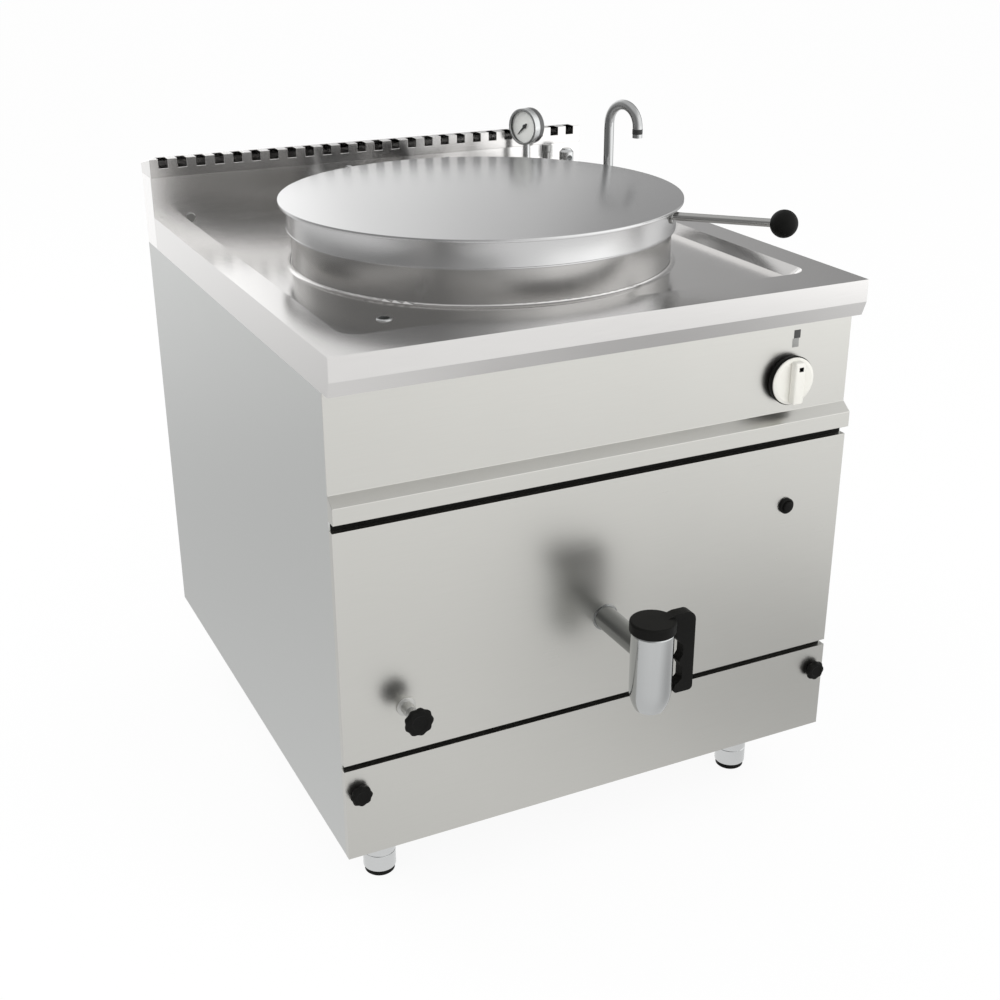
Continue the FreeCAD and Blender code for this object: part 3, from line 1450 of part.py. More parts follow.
def riser_solid(name, radius):
    """Steam riser from the jacket's upper side to the safety group."""
    bend = d.pipe_bend
    dx = -RISER_X.value
    dy = (PAN_Y - GROUP_Y).value
    reach = math.hypot(dx, dy) - (JACKET - d.jacket_wall).value + 2
    drop = GROUP_Z - d.group_tube / 2 - RISER_Z
    route = [(0, 0), (0, drop - bend), (bend, drop, -bend), (reach, drop)]
    turn = FreeCAD.Rotation(Z_AXIS, math.degrees(math.atan2(dy, dx))).multiply(UPSIDE_DOWN)
    at = (RISER_X, GROUP_Y, GROUP_Z - d.group_tube / 2)
    return bent_tube(name, route, radius, None, at, turn)


def build_safety_group():
    """Safety manifold with its riser, pressure gauge, air valve and safety valve."""
    tube = d.group_tube
    level = GROUP_Z
    air_x = GAUGE_X + d.port_spacing
    valve_x = air_x + d.port_spacing
    stem_top = GAUGE_Z - d.gauge_radius
    left = GAUGE_X - d.gauge_stem - 4
    parts = [
        rod("manifold_tube", (left, GROUP_Y, level), tube, valve_x + tube + 4 - left, TO_RIGHT),
        rod("gauge_stem", (GAUGE_X, GROUP_Y, level), d.gauge_stem, stem_top - level - d.running_gap),
        rod("air_port", (air_x, GROUP_Y, level), tube * 0.8, tube + 4),
        rod("valve_port", (valve_x, GROUP_Y, level), tube * 0.9, tube + 4),
        rod("riser_flange", (RISER_X, GROUP_Y, DECK), d.riser_radius + 3, 5),
        riser_solid("riser_tube", d.riser_radius),
    ]
    piece("safety_manifold", fuse("safety_manifold", parts))

    seat = level + tube + 4
    radius = d.air_valve_radius
    top = level + d.air_valve_rise
    outline = [
        (0, seat), (radius, seat), (radius, top - 14), (radius + 2, top - 12),
        (radius + 2, top - 1), (radius + 1, top), (0, top),
    ]
    piece("air_valve", turned("air_valve", outline, (air_x, GROUP_Y, 0)))
    radius = d.safety_valve_radius
    top = level + d.safety_valve_rise
    outline = [
        (0, seat), (radius - 3, seat), (radius, seat + 3), (radius, top - 6), (radius - 4, top - 2),
        (radius - 5, top), (0, top),
    ]
    body = turned("valve_casting", outline, (valve_x, GROUP_Y, 0))
    vent = rod("valve_vent", (valve_x, GROUP_Y, seat + 13), radius * 0.45, radius + 5, TO_FRONT)
    piece("safety_valve", cut("safety_valve", body, [vent]))
    build_gauge()


def build_gauge():
    """Round pressure gauge: cup-shaped case, dial, pointer and glass, facing the front left."""
    radius = d.gauge_radius
    depth = d.gauge_depth
    wall = d.gauge_wall
    rim = d.gauge_rim
    turn = FreeCAD.Rotation(Z_AXIS, 180 + d.gauge_turn.value).multiply(TO_RIGHT)
    at = (GAUGE_X, GROUP_Y, GAUGE_Z)
    back = -depth / 2
    front = depth / 2
    inside = radius - wall
    outline = [
        (0, back), (radius - 2, back), (radius, back + 2), (radius, front - 1), (radius - 1, front),
        (inside - rim, front), (inside - rim, front - 2), (inside, front - 2), (inside, back + wall),
        (0, back + wall),
    ]
    piece("gauge_case", turned("gauge_case", outline, at, turn))
    dial_face = front - d.dial_setback
    pivot = 2
    dial = [(pivot + d.running_gap, back + wall), (inside - d.running_gap, back + wall),
            (inside - d.running_gap, dial_face), (pivot + d.running_gap, dial_face)]
    piece("gauge_dial", turned("gauge_dial", dial, at, turn))
    glass_back = front - 2 - 2
    edge = inside - d.running_gap
    glass = rectangle(0, glass_back, edge, front - 2 - d.running_gap)
    piece("gauge_glass", turned("gauge_glass", glass, at, turn))
    hub_outline = [
        (0, back + wall + 1), (pivot, back + wall + 1), (pivot, dial_face + 1), (pivot + 1.5, dial_face + 1),
        (pivot + 1.5, dial_face + 3), (0, dial_face + 3),
    ]
    hub = turned("pointer_hub", hub_outline, at, turn)
    tip = inside - 8
    blade_outline = [(-7, -1.5), (0, -2), (tip, -0.5), (tip, 0.5), (0, 2), (-7, 1.5)]
    blade = extruded("pointer_blade", "XY_Plane", blade_outline, 1, at, turn)
    lift = turn.multVec(V(0, 0, (dial_face + 2).value))
    place(blade, tuple(c + s for c, s in zip(at, lift)), turn.multiply(FreeCAD.Rotation(Z_AXIS, -45)))
    piece("gauge_pointer", fuse("gauge_pointer", [hub, blade]))


def build_spill_drain():
    """Small flanged drain in the sunk deck, front left."""
    tail = d.spill_tail
    outline = [
        (d.spill_bore, -tail), (d.spill_bore + 1.5, -tail), (d.spill_bore + 1.5, 0), (d.spill_radius, 0),
        (d.spill_radius, 0.8), (d.spill_radius - 1, 1.6), (d.spill_bore, 1.6),
    ]
    piece("spill_drain", turned("spill_drain", outline, (SPILL_X, SPILL_Y, DECK)))


def check_model():
    """Stops if any object failed or any sub-part's shape is missing or bad."""
    for item in doc.Objects:
        if "Invalid" in item.State or "Error" in item.State:
            raise RuntimeError(f"{item.Name}: {item.State} {item.getStatusString()}")
    for label, item in PIECES.items():
        if item.Shape.isNull() or not item.Shape.isValid() or item.Shape.Volume <= 0:
            raise RuntimeError(f"{label}: bad shape")


def write_parts():
    """Writes each sub-part to its own file."""
    os.makedirs("parts", exist_ok=True)
    for label, item in PIECES.items():
        item.Shape.exportStep(os.path.join("parts", f"{label}.step"))
        bounds = item.Shape.BoundBox
        print(f"{label:20s} {len(item.Shape.Solids)} solids {item.Shape.Volume / 1000:10.1f} cm3 "
              f"x {bounds.XMin:7.1f} {bounds.XMax:7.1f} y {bounds.YMin:7.1f} {bounds.YMax:7.1f} "
              f"z {bounds.ZMin:7.1f} {bounds.ZMax:7.1f}")


build_base_frame()
build_legs()
build_side_panels()
build_back_panel()
build_front_panels()
build_control_panel()
build_worktop()
build_flue()
build_pan()
build_jacket()
build_fire_chamber()
build_burner()
build_gas_line()
build_selector()
build_igniter()
build_kick_knobs()
build_tap()
build_level_cock()
build_lid()
build_hinge()
build_spout()
build_safety_group()
build_spill_drain()
doc.recompute()
check_model()
write_parts()
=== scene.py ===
"""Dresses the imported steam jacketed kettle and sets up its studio.

Lengths are in metres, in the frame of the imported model: +X to the right, +Y to the back, +Z up.
"""

import json
import logging
import math
from dataclasses import dataclass, field
from enum import Enum
from typing import Callable, Sequence

import bmesh
import bpy
from mathutils import Matrix, Vector

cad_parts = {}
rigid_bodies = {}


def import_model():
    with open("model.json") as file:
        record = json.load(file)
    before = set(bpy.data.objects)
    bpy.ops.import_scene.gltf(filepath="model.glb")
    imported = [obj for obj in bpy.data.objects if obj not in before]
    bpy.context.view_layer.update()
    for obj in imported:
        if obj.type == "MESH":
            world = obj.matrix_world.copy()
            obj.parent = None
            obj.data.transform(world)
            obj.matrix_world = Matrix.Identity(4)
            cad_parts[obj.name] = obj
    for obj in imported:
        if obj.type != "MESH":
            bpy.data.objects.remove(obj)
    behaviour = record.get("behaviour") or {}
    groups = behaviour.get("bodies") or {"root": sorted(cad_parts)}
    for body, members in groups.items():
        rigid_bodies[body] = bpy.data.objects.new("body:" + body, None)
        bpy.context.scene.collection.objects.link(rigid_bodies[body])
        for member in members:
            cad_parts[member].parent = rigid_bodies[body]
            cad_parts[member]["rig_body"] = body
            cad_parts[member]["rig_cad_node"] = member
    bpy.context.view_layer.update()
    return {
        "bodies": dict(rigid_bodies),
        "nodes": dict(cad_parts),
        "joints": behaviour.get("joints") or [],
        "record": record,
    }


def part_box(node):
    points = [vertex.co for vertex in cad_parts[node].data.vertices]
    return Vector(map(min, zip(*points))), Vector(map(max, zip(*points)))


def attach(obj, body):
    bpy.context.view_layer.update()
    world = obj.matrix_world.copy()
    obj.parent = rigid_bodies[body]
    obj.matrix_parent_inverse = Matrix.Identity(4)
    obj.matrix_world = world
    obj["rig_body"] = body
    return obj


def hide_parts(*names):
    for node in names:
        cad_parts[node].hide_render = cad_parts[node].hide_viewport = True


log = logging.getLogger("kettle")

Point2 = tuple[float, float]
Point3 = tuple[float, float, float]
Colour = tuple[float, float, float]

MM = 0.001
MERGE = 1e-5
# Degrees of a bend that one span takes up
BEND_STEP = 7.5
UP: Point3 = (0.0, 0.0, 1.0)
FRONT: Point3 = (0.0, -1.0, 0.0)
RIGHT: Point3 = (1.0, 0.0, 0.0)
WHITE = (1.0, 1.0, 1.0, 1.0)


class Grain(Enum):
    """Way a surface's fine texture runs."""

    ALONG_X = (0.02, 1.0, 1.0)
    ALONG_Y = (1.0, 0.02, 1.0)
    ALONG_Z = (1.0, 1.0, 0.02)
    EVEN = (1.0, 1.0, 1.0)


# Node sheets and finishes


class NodeSheet:
    """Adds and joins the nodes of one material, group or world."""

    def __init__(self, tree: bpy.types.NodeTree) -> None:
        """Starts on an empty tree."""
        self.tree = tree
        tree.nodes.clear()

    def add(self, kind: str, inputs: dict | None = None, **settings: object) -> bpy.types.Node:
        """Adds one node.

        Args:
            kind: The node's type, without its ShaderNode prefix.
            inputs: Plain values or sockets for its inputs, by name or number.
            settings: Properties of the node.

        Returns:
            The new node.
        """
        name = kind if kind.startswith("NodeGroup") else "ShaderNode" + kind
        node = self.tree.nodes.new(name)
        for key, value in settings.items():
            setattr(node, key, value)
        for key, value in (inputs or {}).items():
            if isinstance(value, bpy.types.NodeSocket):
                self.tree.links.new(value, node.inputs[key])
            else:
                node.inputs[key].default_value = value
        return node

    def maths(self, operation: str, first: object, second: object = 0.0,
              third: object = 0.0) -> bpy.types.NodeSocket:
        """Adds a maths node."""
        return self.add("Math", {0: first, 1: second, 2: third}, operation=operation).outputs[0]

    def noise(self, place: bpy.types.NodeSocket, scale: object, detail: float = 3.0) -> bpy.types.NodeSocket:
        """Adds a noise texture whose scale is in features to the metre."""
        return self.add("TexNoise", {"Vector": place, "Scale": scale, "Detail": detail}).outputs[0]

    def ranged(self, value: bpy.types.NodeSocket, low: float, high: float, start: float = 0.0,
               smooth: bool = True) -> bpy.types.NodeSocket:
        """Takes a value from low to high to a range that ends at 1, held between its ends."""
        rise = {"Value": value, "From Min": low, "From Max": high, "To Min": start, "To Max": 1.0}
        return self.add("MapRange", rise, interpolation_type="SMOOTHSTEP" if smooth else "LINEAR").outputs[0]

    def between(self, share: bpy.types.NodeSocket, first: object, second: object) -> bpy.types.NodeSocket:
        """Mixes two numbers by the share of the second."""
        return self.add("Mix", {"Factor": share, 2: first, 3: second}, data_type="FLOAT").outputs[0]

    def mixed(self, share: bpy.types.NodeSocket, first: bpy.types.Node,
              second: bpy.types.Node) -> bpy.types.Node:
        """Mixes the shaders of two nodes by the share of the second."""
        return self.add("MixShader", {0: share, 1: first.outputs[0], 2: second.outputs[0]})

    def stretch(self, place: bpy.types.NodeSocket, scale: Point3) -> bpy.types.NodeSocket:
        """Scales coordinates along each axis."""
        return self.add("Mapping", {"Vector": place, "Scale": scale}).outputs[0]


def new_group(name: str, inputs: Sequence[tuple[str, str, object]],
              outputs: Sequence[tuple[str, str]]) -> tuple:
    """Starts a node group.

    Args:
        name: The group's name.
        inputs: Name, socket type and start value of each input.
        outputs: Name and socket type of each output.

    Returns:
        The group's tree, its sheet, its input node and its output node.
    """
    tree = bpy.data.node_groups.new(name, "ShaderNodeTree")
    for label, kind, value in inputs:
        socket = tree.interface.new_socket(label, in_out="INPUT", socket_type="NodeSocket" + kind)
        if value is not None:
            socket.default_value = value
    for label, kind in outputs:
        tree.interface.new_socket(label, in_out="OUTPUT", socket_type="NodeSocket" + kind)
    sheet = NodeSheet(tree)
    return tree, sheet, sheet.add("NodeGroupInput"), sheet.add("NodeGroupOutput")


def grain_group() -> bpy.types.NodeTree:
    """Brushed or moulded grain: a colour factor, a roughness and a height.

    Returns:
        The group's tree.
    """
    tree, sheet, start, end = new_group(
        "SurfaceGrain",
        [
            ("Stretched", "Vector", None), ("Place", "Vector", None),
            ("Colour", "Color", (0.6, 0.6, 0.6, 1.0)), ("Scale", "Float", 600.0),
            ("Roughness", "Float", 0.3), ("Tone Spread", "Float", 0.05),
            ("Rough Spread", "Float", 0.08), ("Cloud Scale", "Float", 3.0),
        ],
        [("Colour", "Color"), ("Roughness", "Float"), ("Height", "Float")],
    )
    given = start.outputs
    grain = sheet.noise(given["Stretched"], given["Scale"], 4.0)
    cloud = sheet.noise(given["Place"], given["Cloud Scale"])
    fine = sheet.maths("SUBTRACT", grain, 0.5)
    broad = sheet.maths("SUBTRACT", cloud, 0.5)
    both = sheet.maths("ADD", fine, broad)
    tone = sheet.maths("MULTIPLY_ADD", both, given["Tone Spread"], 1.0)
    shade = sheet.add("VectorMath", {0: given["Colour"], "Scale": tone}, operation="SCALE")
    rough = sheet.maths("MULTIPLY_ADD", both, given["Rough Spread"], given["Roughness"])
    tree.links.new(shade.outputs[0], end.inputs["Colour"])
    tree.links.new(rough, end.inputs["Roughness"])
    tree.links.new(grain, end.inputs["Height"])
    return tree


def wear_group() -> bpy.types.NodeTree:
    """Wear along edges: a mask that is high on sharp outer edges, broken up by noise.

    Returns:
        The group's tree.
    """
    tree, sheet, start, end = new_group(
        "EdgeWear",
        [("Place", "Vector", None), ("Amount", "Float", 0.4), ("Scale", "Float", 60.0)],
        [("Mask", "Float")],
    )
    sharp = sheet.add("NewGeometry").outputs["Pointiness"]
    edge = sheet.ranged(sharp, 0.51, 0.6, smooth=False)
    patch = sheet.noise(start.outputs["Place"], start.outputs["Scale"], 5.0)
    broken = sheet.ranged(patch, 0.35, 0.65, smooth=False)
    mask = sheet.maths("MULTIPLY", sheet.maths("MULTIPLY", edge, broken), start.outputs["Amount"])
    tree.links.new(mask, end.inputs["Mask"])
    return tree


@dataclass(frozen=True)
class Finish:
    """One surface finish of the kettle and how its texture varies.

    Attributes:
        name: The finish's name.
        colour: Its mean colour.
        grain: Way its fine texture runs; grain_scale is in features for each metre and grain_depth in
            millimetres.
        tone_spread: How much its tone varies; rough_spread is the same for its roughness.
        cloud_scale: Broad cloudy variation, in features for each metre.
        wear: Share of wear_colour on sharp edges.
        coat: Share of clear gloss over it.
        specular: Strength of the mirroring of a finish that isn't metal.
    """

    name: str
    colour: Colour
    metallic: float = 1.0
    roughness: float = 0.3
    grain: Grain = Grain.EVEN
    grain_scale: float = 500.0
    grain_depth: float = 0.05
    tone_spread: float = 0.06
    rough_spread: float = 0.08
    cloud_scale: float = 3.0
    wear: float = 0.0
    wear_colour: Colour = (0.7, 0.7, 0.7)
    coat: float = 0.0
    specular: float = 0.5

    def material(self) -> bpy.types.Material:
        """The finish as a material, made on first use.

        Returns:
            The material.
        """
        label = "finish_" + self.name
        made = bpy.data.materials.get(label)
        if made is not None:
            return made
        made = bpy.data.materials.new(label)
        made.use_nodes = True
        sheet = NodeSheet(made.node_tree)
        place = sheet.add("TexCoord").outputs["Object"]
        stretched = sheet.stretch(place, self.grain.value)
        grain = sheet.add("Group", node_tree=shared_group("SurfaceGrain", grain_group))
        for socket, value in (
            ("Colour", (*self.colour, 1.0)), ("Scale", self.grain_scale), ("Roughness", self.roughness),
            ("Tone Spread", self.tone_spread), ("Rough Spread", self.rough_spread),
            ("Cloud Scale", self.cloud_scale),
        ):
            grain.inputs[socket].default_value = value
        links = made.node_tree.links
        links.new(place, grain.inputs["Place"])
        links.new(stretched, grain.inputs["Stretched"])
        colour = grain.outputs["Colour"]
        if self.wear > 0:
            worn = sheet.add("Group", node_tree=shared_group("EdgeWear", wear_group))
            worn.inputs["Amount"].default_value = self.wear
            links.new(place, worn.inputs["Place"])
            shares = {"Factor": worn.outputs["Mask"], 6: colour, 7: (*self.wear_colour, 1.0)}
            colour = sheet.add("Mix", shares, data_type="RGBA").outputs[2]
        depth = self.grain_depth * MM
        bump = sheet.add("Bump", {"Height": grain.outputs["Height"], "Strength": 1.0, "Distance": depth})
        shader = sheet.add(
            "BsdfPrincipled",
            {
                "Base Color": colour, "Roughness": grain.outputs["Roughness"], "Normal": bump.outputs[0],
                "Metallic": self.metallic, "Coat Weight": self.coat, "Coat Roughness": 0.1,
                "Specular IOR Level": self.specular,
            },
        )
        sheet.add("OutputMaterial", {"Surface": shader.outputs[0]})
        return made


def shared_group(name: str, make: Callable[[], bpy.types.NodeTree]) -> bpy.types.NodeTree:
    """A node group by name, made on first use."""
    return bpy.data.node_groups.get(name) or make()


def brushed(name: str, colour: Colour, roughness: float, grain: Grain, depth: float = 0.008) -> Finish:
    """A brushed stainless sheet; the depth of the brushing is in millimetres."""
    return Finish(name, colour, roughness=roughness, grain=grain, grain_depth=depth, grain_scale=900)


def metal(name: str, colour: Colour, roughness: float, depth: float, tone: float = 0.06, rough: float = 0.08,
          grain: Grain = Grain.EVEN) -> Finish:
    """A smooth metal fitting or tube.

    Args:
        name: The finish's name.
        colour: Its colour.
        roughness: Its roughness.
        depth: Depth of its fine texture, in millimetres.
        tone: How much its tone varies.
        rough: How much its roughness varies.
        grain: Way its texture runs.

    Returns:
        The finish.
    """
    return Finish(
        name, colour, roughness=roughness, grain=grain, grain_depth=depth, tone_spread=tone,
        rough_spread=rough,
    )


def paint(name: str, colour: Colour, roughness: float = 0.5, tone: float = 0.06, depth: float = 0.002,
          coat: float = 0.0) -> Finish:
    """A plain paint, enamel or print.

    Args:
        name: The finish's name.
        colour: Its colour.
        roughness: Its roughness.
        tone: How much its tone varies.
        depth: Depth of its fine texture, in millimetres.
        coat: Share of clear gloss over it.

    Returns:
        The finish.
    """
    return Finish(
        name, colour, metallic=0.0, roughness=roughness, tone_spread=tone, grain_depth=depth, coat=coat
    )


FRONT_STEEL = brushed("front_steel", (0.60, 0.595, 0.565), 0.3, Grain.ALONG_X, 0.012)
SIDE_STEEL = brushed("side_steel", (0.60, 0.61, 0.60), 0.36, Grain.ALONG_Y, 0.012)
TOP_STEEL = brushed("top_steel", (0.66, 0.65, 0.64), 0.17, Grain.ALONG_X)
# The same stainless as the other sheets, made paler as painted light on the flue housing
FLUE_STEEL_LIGHTENED = brushed("flue_steel_lightened", (0.84, 0.83, 0.82), 0.2, Grain.ALONG_X)
# The same stainless as the other sheets, made darker as painted shade on the pan's outside and jacket
PAN_STEEL_SHADED = brushed("pan_steel", (0.46, 0.455, 0.445), 0.24, Grain.ALONG_Z, 0.01)
INSIDE_STEEL = brushed("inside_steel", (0.70, 0.695, 0.685), 0.3, Grain.ALONG_Z, 0.01)
LID_STEEL = brushed("lid_steel", (0.56, 0.56, 0.56), 0.24, Grain.ALONG_X)
TUBE_STEEL = metal("tube_steel", (0.44, 0.44, 0.43), 0.22, 0.004)
PIPE_STEEL = metal("pipe_steel", (0.25, 0.255, 0.25), 0.24, 0.003, grain=Grain.ALONG_Y)
SPOUT_CHROME = metal("spout_chrome", (0.46, 0.465, 0.465), 0.14, 0.002, 0.04, 0.04)
TAP_CHROME = metal("tap_chrome", (0.50, 0.51, 0.51), 0.15, 0.002, 0.04, 0.05, Grain.ALONG_Z)
BRIGHT_PLATING = metal("bright_plating", (0.68, 0.69, 0.69), 0.12, 0.002, 0.03, 0.04)
SATIN_PLATING = metal("satin_plating", (0.60, 0.61, 0.61), 0.28, 0.003, 0.05)
MATT_FITTING = metal("matt_fitting", (0.58, 0.58, 0.56), 0.5, 0.003, 0.05)
DULL_FITTING = metal("dull_fitting", (0.34, 0.34, 0.33), 0.34, 0.004, 0.1)
DARK_ENAMEL = paint("dark_enamel", (0.05, 0.05, 0.05), 0.3, 0.1, 0.01, 0.4)
DIAL_WHITE = paint("dial_white", (0.94, 0.94, 0.91), tone=0.02)
DIAL_BLACK = paint("dial_black", (0.02, 0.02, 0.02), tone=0.1)
GREY_MARK = paint("grey_mark", (0.30, 0.30, 0.29))
DARK_MARK = paint("dark_mark", (0.05, 0.05, 0.05))
FRAME_STEEL = Finish("frame_steel", (0.42, 0.42, 0.42), roughness=0.42, grain_depth=0.03, grain_scale=300)
VALVE_ALUMINIUM = Finish(
    "valve_aluminium", (0.55, 0.56, 0.57), roughness=0.45, grain_scale=300, grain_depth=0.05
)
BLACK_PLASTIC = Finish(
    "black_plastic", (0.006, 0.006, 0.0055), metallic=0.0, roughness=0.5, grain_scale=1400, grain_depth=0.04,
    tone_spread=0.35, rough_spread=0.12, cloud_scale=25, wear=0.35, wear_colour=(0.018, 0.018, 0.017),
    specular=0.08,
)
PALE_PLASTIC = Finish(
    "pale_plastic", (0.74, 0.73, 0.68), metallic=0.0, roughness=0.38, grain_scale=1200, grain_depth=0.02,
    tone_spread=0.05, rough_spread=0.06, cloud_scale=20, coat=0.15,
)
CAST_IRON = Finish(
    "cast_iron", (0.06, 0.055, 0.05), metallic=0.6, roughness=0.65, grain_scale=250, grain_depth=0.4,
    tone_spread=0.4,
)
MINERAL_WOOL = Finish(
    "mineral_wool", (0.55, 0.52, 0.38), metallic=0.0, roughness=0.95, grain_scale=120, grain_depth=3.0,
    tone_spread=0.5, cloud_scale=15,
)


def glass_material() -> bpy.types.Material:
    """Clear flat glass with faint smears.

    Returns:
        The material.
    """
    made = bpy.data.materials.new("clear_glass")
    made.use_nodes = True
    sheet = NodeSheet(made.node_tree)
    place = sheet.add("TexCoord").outputs["Object"]
    smear = sheet.maths("MULTIPLY_ADD", sheet.noise(place, 60.0), 0.06, 0.0)
    shader = sheet.add(
        "BsdfPrincipled",
        {"Base Color": (0.97, 0.98, 0.98, 1.0), "Roughness": smear, "Transmission Weight": 1.0, "IOR": 1.2},
    )
    clear = sheet.add("BsdfTransparent", {"Color": (0.98, 0.98, 0.98, 1.0)})
    path = sheet.add("LightPath")
    lighting = sheet.maths("MAXIMUM", path.outputs["Is Shadow Ray"], path.outputs["Is Diffuse Ray"])
    sheet.add("OutputMaterial", {"Surface": sheet.mixed(lighting, shader, clear).outputs[0]})
    return made


# Modelling steps


@dataclass(frozen=True)
class Seat:
    """Where a piece that was made round the upright axis goes."""

    at: Point3 = (0.0, 0.0, 0.0)
    facing: Point3 = UP
    roll: float = 0.0

    def matrix(self) -> Matrix:
        """The move from the making position to the seat.

        Returns:
            The matrix.
        """
        turn = Vector(UP).rotation_difference(Vector(self.facing)).to_matrix().to_4x4()
        if self.facing == FRONT:
            # A piece on the front keeps its own X to the right
            turn = Matrix.Rotation(math.pi / 2, 4, "X")
        return Matrix.Translation(self.at) @ turn @ Matrix.Rotation(self.roll, 4, "Z")


def clear_selection() -> None:
    """Leaves edit mode and deselects everything."""
    if bpy.context.object is not None and bpy.context.object.mode != "OBJECT":
        bpy.ops.object.mode_set(mode="OBJECT")
    bpy.ops.object.select_all(action="DESELECT")


def take(piece: bpy.types.Object) -> None:
    """Makes one object the only selected and active one.

    Args:
        piece: The object.
    """
    clear_selection()
    piece.select_set(True)
    bpy.context.view_layer.objects.active = piece


def start_piece(name: str) -> bpy.types.Object:
    """Names the primitive that was just added and enters edit mode with all of it selected.

    Args:
        name: The piece's name.

    Returns:
        The object.
    """
    piece = bpy.context.object
    piece.name = name
    piece.data.name = name
    bpy.ops.object.mode_set(mode="EDIT")
    bpy.ops.mesh.select_mode(type="VERT")
    bpy.ops.mesh.select_all(action="SELECT")
    return piece


def settle(piece: bpy.types.Object, seat: Seat, smooth: float = 30.0) -> bpy.types.Object:
    """Moves a finished piece to its seat, keeps its place in its mesh and smooths it.

    Args:
        piece: The piece.
        seat: Its seat.
        smooth: Angle in degrees up to which an edge is smooth.

    Returns:
        The same piece.
    """
    take(piece)
    piece.matrix_world = seat.matrix() @ piece.matrix_world
    bpy.ops.object.transform_apply(location=True, rotation=True, scale=True)
    bpy.ops.object.shade_smooth_by_angle(angle=math.radians(smooth))
    return piece


def select_faces(piece: bpy.types.Object, test: Callable[[bmesh.types.BMFace], bool]) -> int:
    """Selects faces in edit mode by a test on their place or normal.

    Args:
        piece: The object in edit mode.
        test: True for a face to select.

    Returns:
        How many were selected.
    """
    bpy.ops.mesh.select_mode(type="FACE")
    mesh = bmesh.from_edit_mesh(piece.data)
    for face in mesh.faces:
        face.select_set(bool(test(face)))
    bmesh.update_edit_mesh(piece.data)
    return sum(face.select for face in mesh.faces)


def select_points(piece: bpy.types.Object, test: Callable[[Vector], bool]) -> int:
    """Selects vertices in edit mode by a test on their place.

    Args:
        piece: The object in edit mode.
        test: True for a point to select.

    Returns:
        How many were selected.
    """
    bpy.ops.mesh.select_mode(type="VERT")
    mesh = bmesh.from_edit_mesh(piece.data)
    for point in mesh.verts:
        point.select_set(bool(test(point.co)))
    mesh.select_flush_mode()
    bmesh.update_edit_mesh(piece.data)
    return sum(point.select for point in mesh.verts)


def filleted(corners: Sequence[tuple[float, ...]], steps: int = 4) -> list[Point2]:
    """Rounds the corners of an outline.

    Args:
        corners: Points (u, v) or (u, v, fillet radius).
        steps: Spans in each fillet.

    Returns:
        The rounded outline.
    """
    outline: list[Point2] = []
    for index, corner in enumerate(corners):
        here = Vector(corner[:2])
        size = corner[2] if len(corner) > 2 else 0.0
        if size <= 0 or index in (0, len(corners) - 1):
            outline.append((here.x, here.y))
            continue
        back = (Vector(corners[index - 1][:2]) - here).normalized()
        ahead = (Vector(corners[index + 1][:2]) - here).normalized()
        half = back.angle(ahead) / 2
        reach = size / math.tan(half)
        centre = here + (back + ahead).normalized() * (size / math.sin(half))
        first = here + back * reach - centre
        last = here + ahead * reach - centre
        turn = math.atan2(first.x * last.y - first.y * last.x, first.dot(last))
        for step in range(steps + 1):
            spot = centre + Matrix.Rotation(turn * step / steps, 2) @ first
            outline.append((spot.x, spot.y))
    return outline


def in_mm(*corners: tuple[float, ...]) -> list[tuple[float, ...]]:
    """Takes corners given in millimetres, each with an optional fillet radius, to metres."""
    return [tuple(value * MM for value in corner) for corner in corners]


def turned(name: str, corners: Sequence[tuple[float, ...]], seat: Seat, steps: int = 64,
           fillet_steps: int = 4, smooth: float = 30.0) -> bpy.types.Object:
    """Turns an outline of (radius, height) corners about the upright axis.

    Args:
        name: The piece's name.
        corners: The outline, each corner with an optional fillet radius.
        seat: Where the piece goes.
        steps: Spans round the axis.
        fillet_steps: Spans in each fillet.
        smooth: Angle in degrees up to which an edge is smooth.

    Returns:
        The piece.
    """
    outline = filleted(corners, fillet_steps)
    clear_selection()
    bpy.ops.mesh.primitive_plane_add(size=0.01)
    piece = start_piece(name)
    bpy.ops.mesh.merge(type="CENTER")
    here = Vector((0.0, 0.0))
    for index, point in enumerate(outline):
        step = Vector(point) - here
        move = (step.x, 0.0, step.y)
        if index == 0:
            bpy.ops.transform.translate(value=move)
        else:
            bpy.ops.mesh.extrude_region_move(TRANSFORM_OT_translate={"value": move})
        here = Vector(point)
    bpy.ops.mesh.select_all(action="SELECT")
    bpy.ops.mesh.spin(steps=steps, angle=math.tau, center=(0, 0, 0), axis=(0, 0, 1))
    bpy.ops.mesh.select_all(action="SELECT")
    bpy.ops.mesh.remove_doubles(threshold=MERGE)
    bpy.ops.mesh.normals_make_consistent(inside=False)
    return settle(piece, seat, smooth)


@dataclass(frozen=True)
class Run:
    """A straight stretch of tube."""

    length: float


@dataclass(frozen=True)
class Bend:
    """A bend of a tube, towards a side given in the making position."""

    radius: float
    angle: float
    side: Point3 = RIGHT


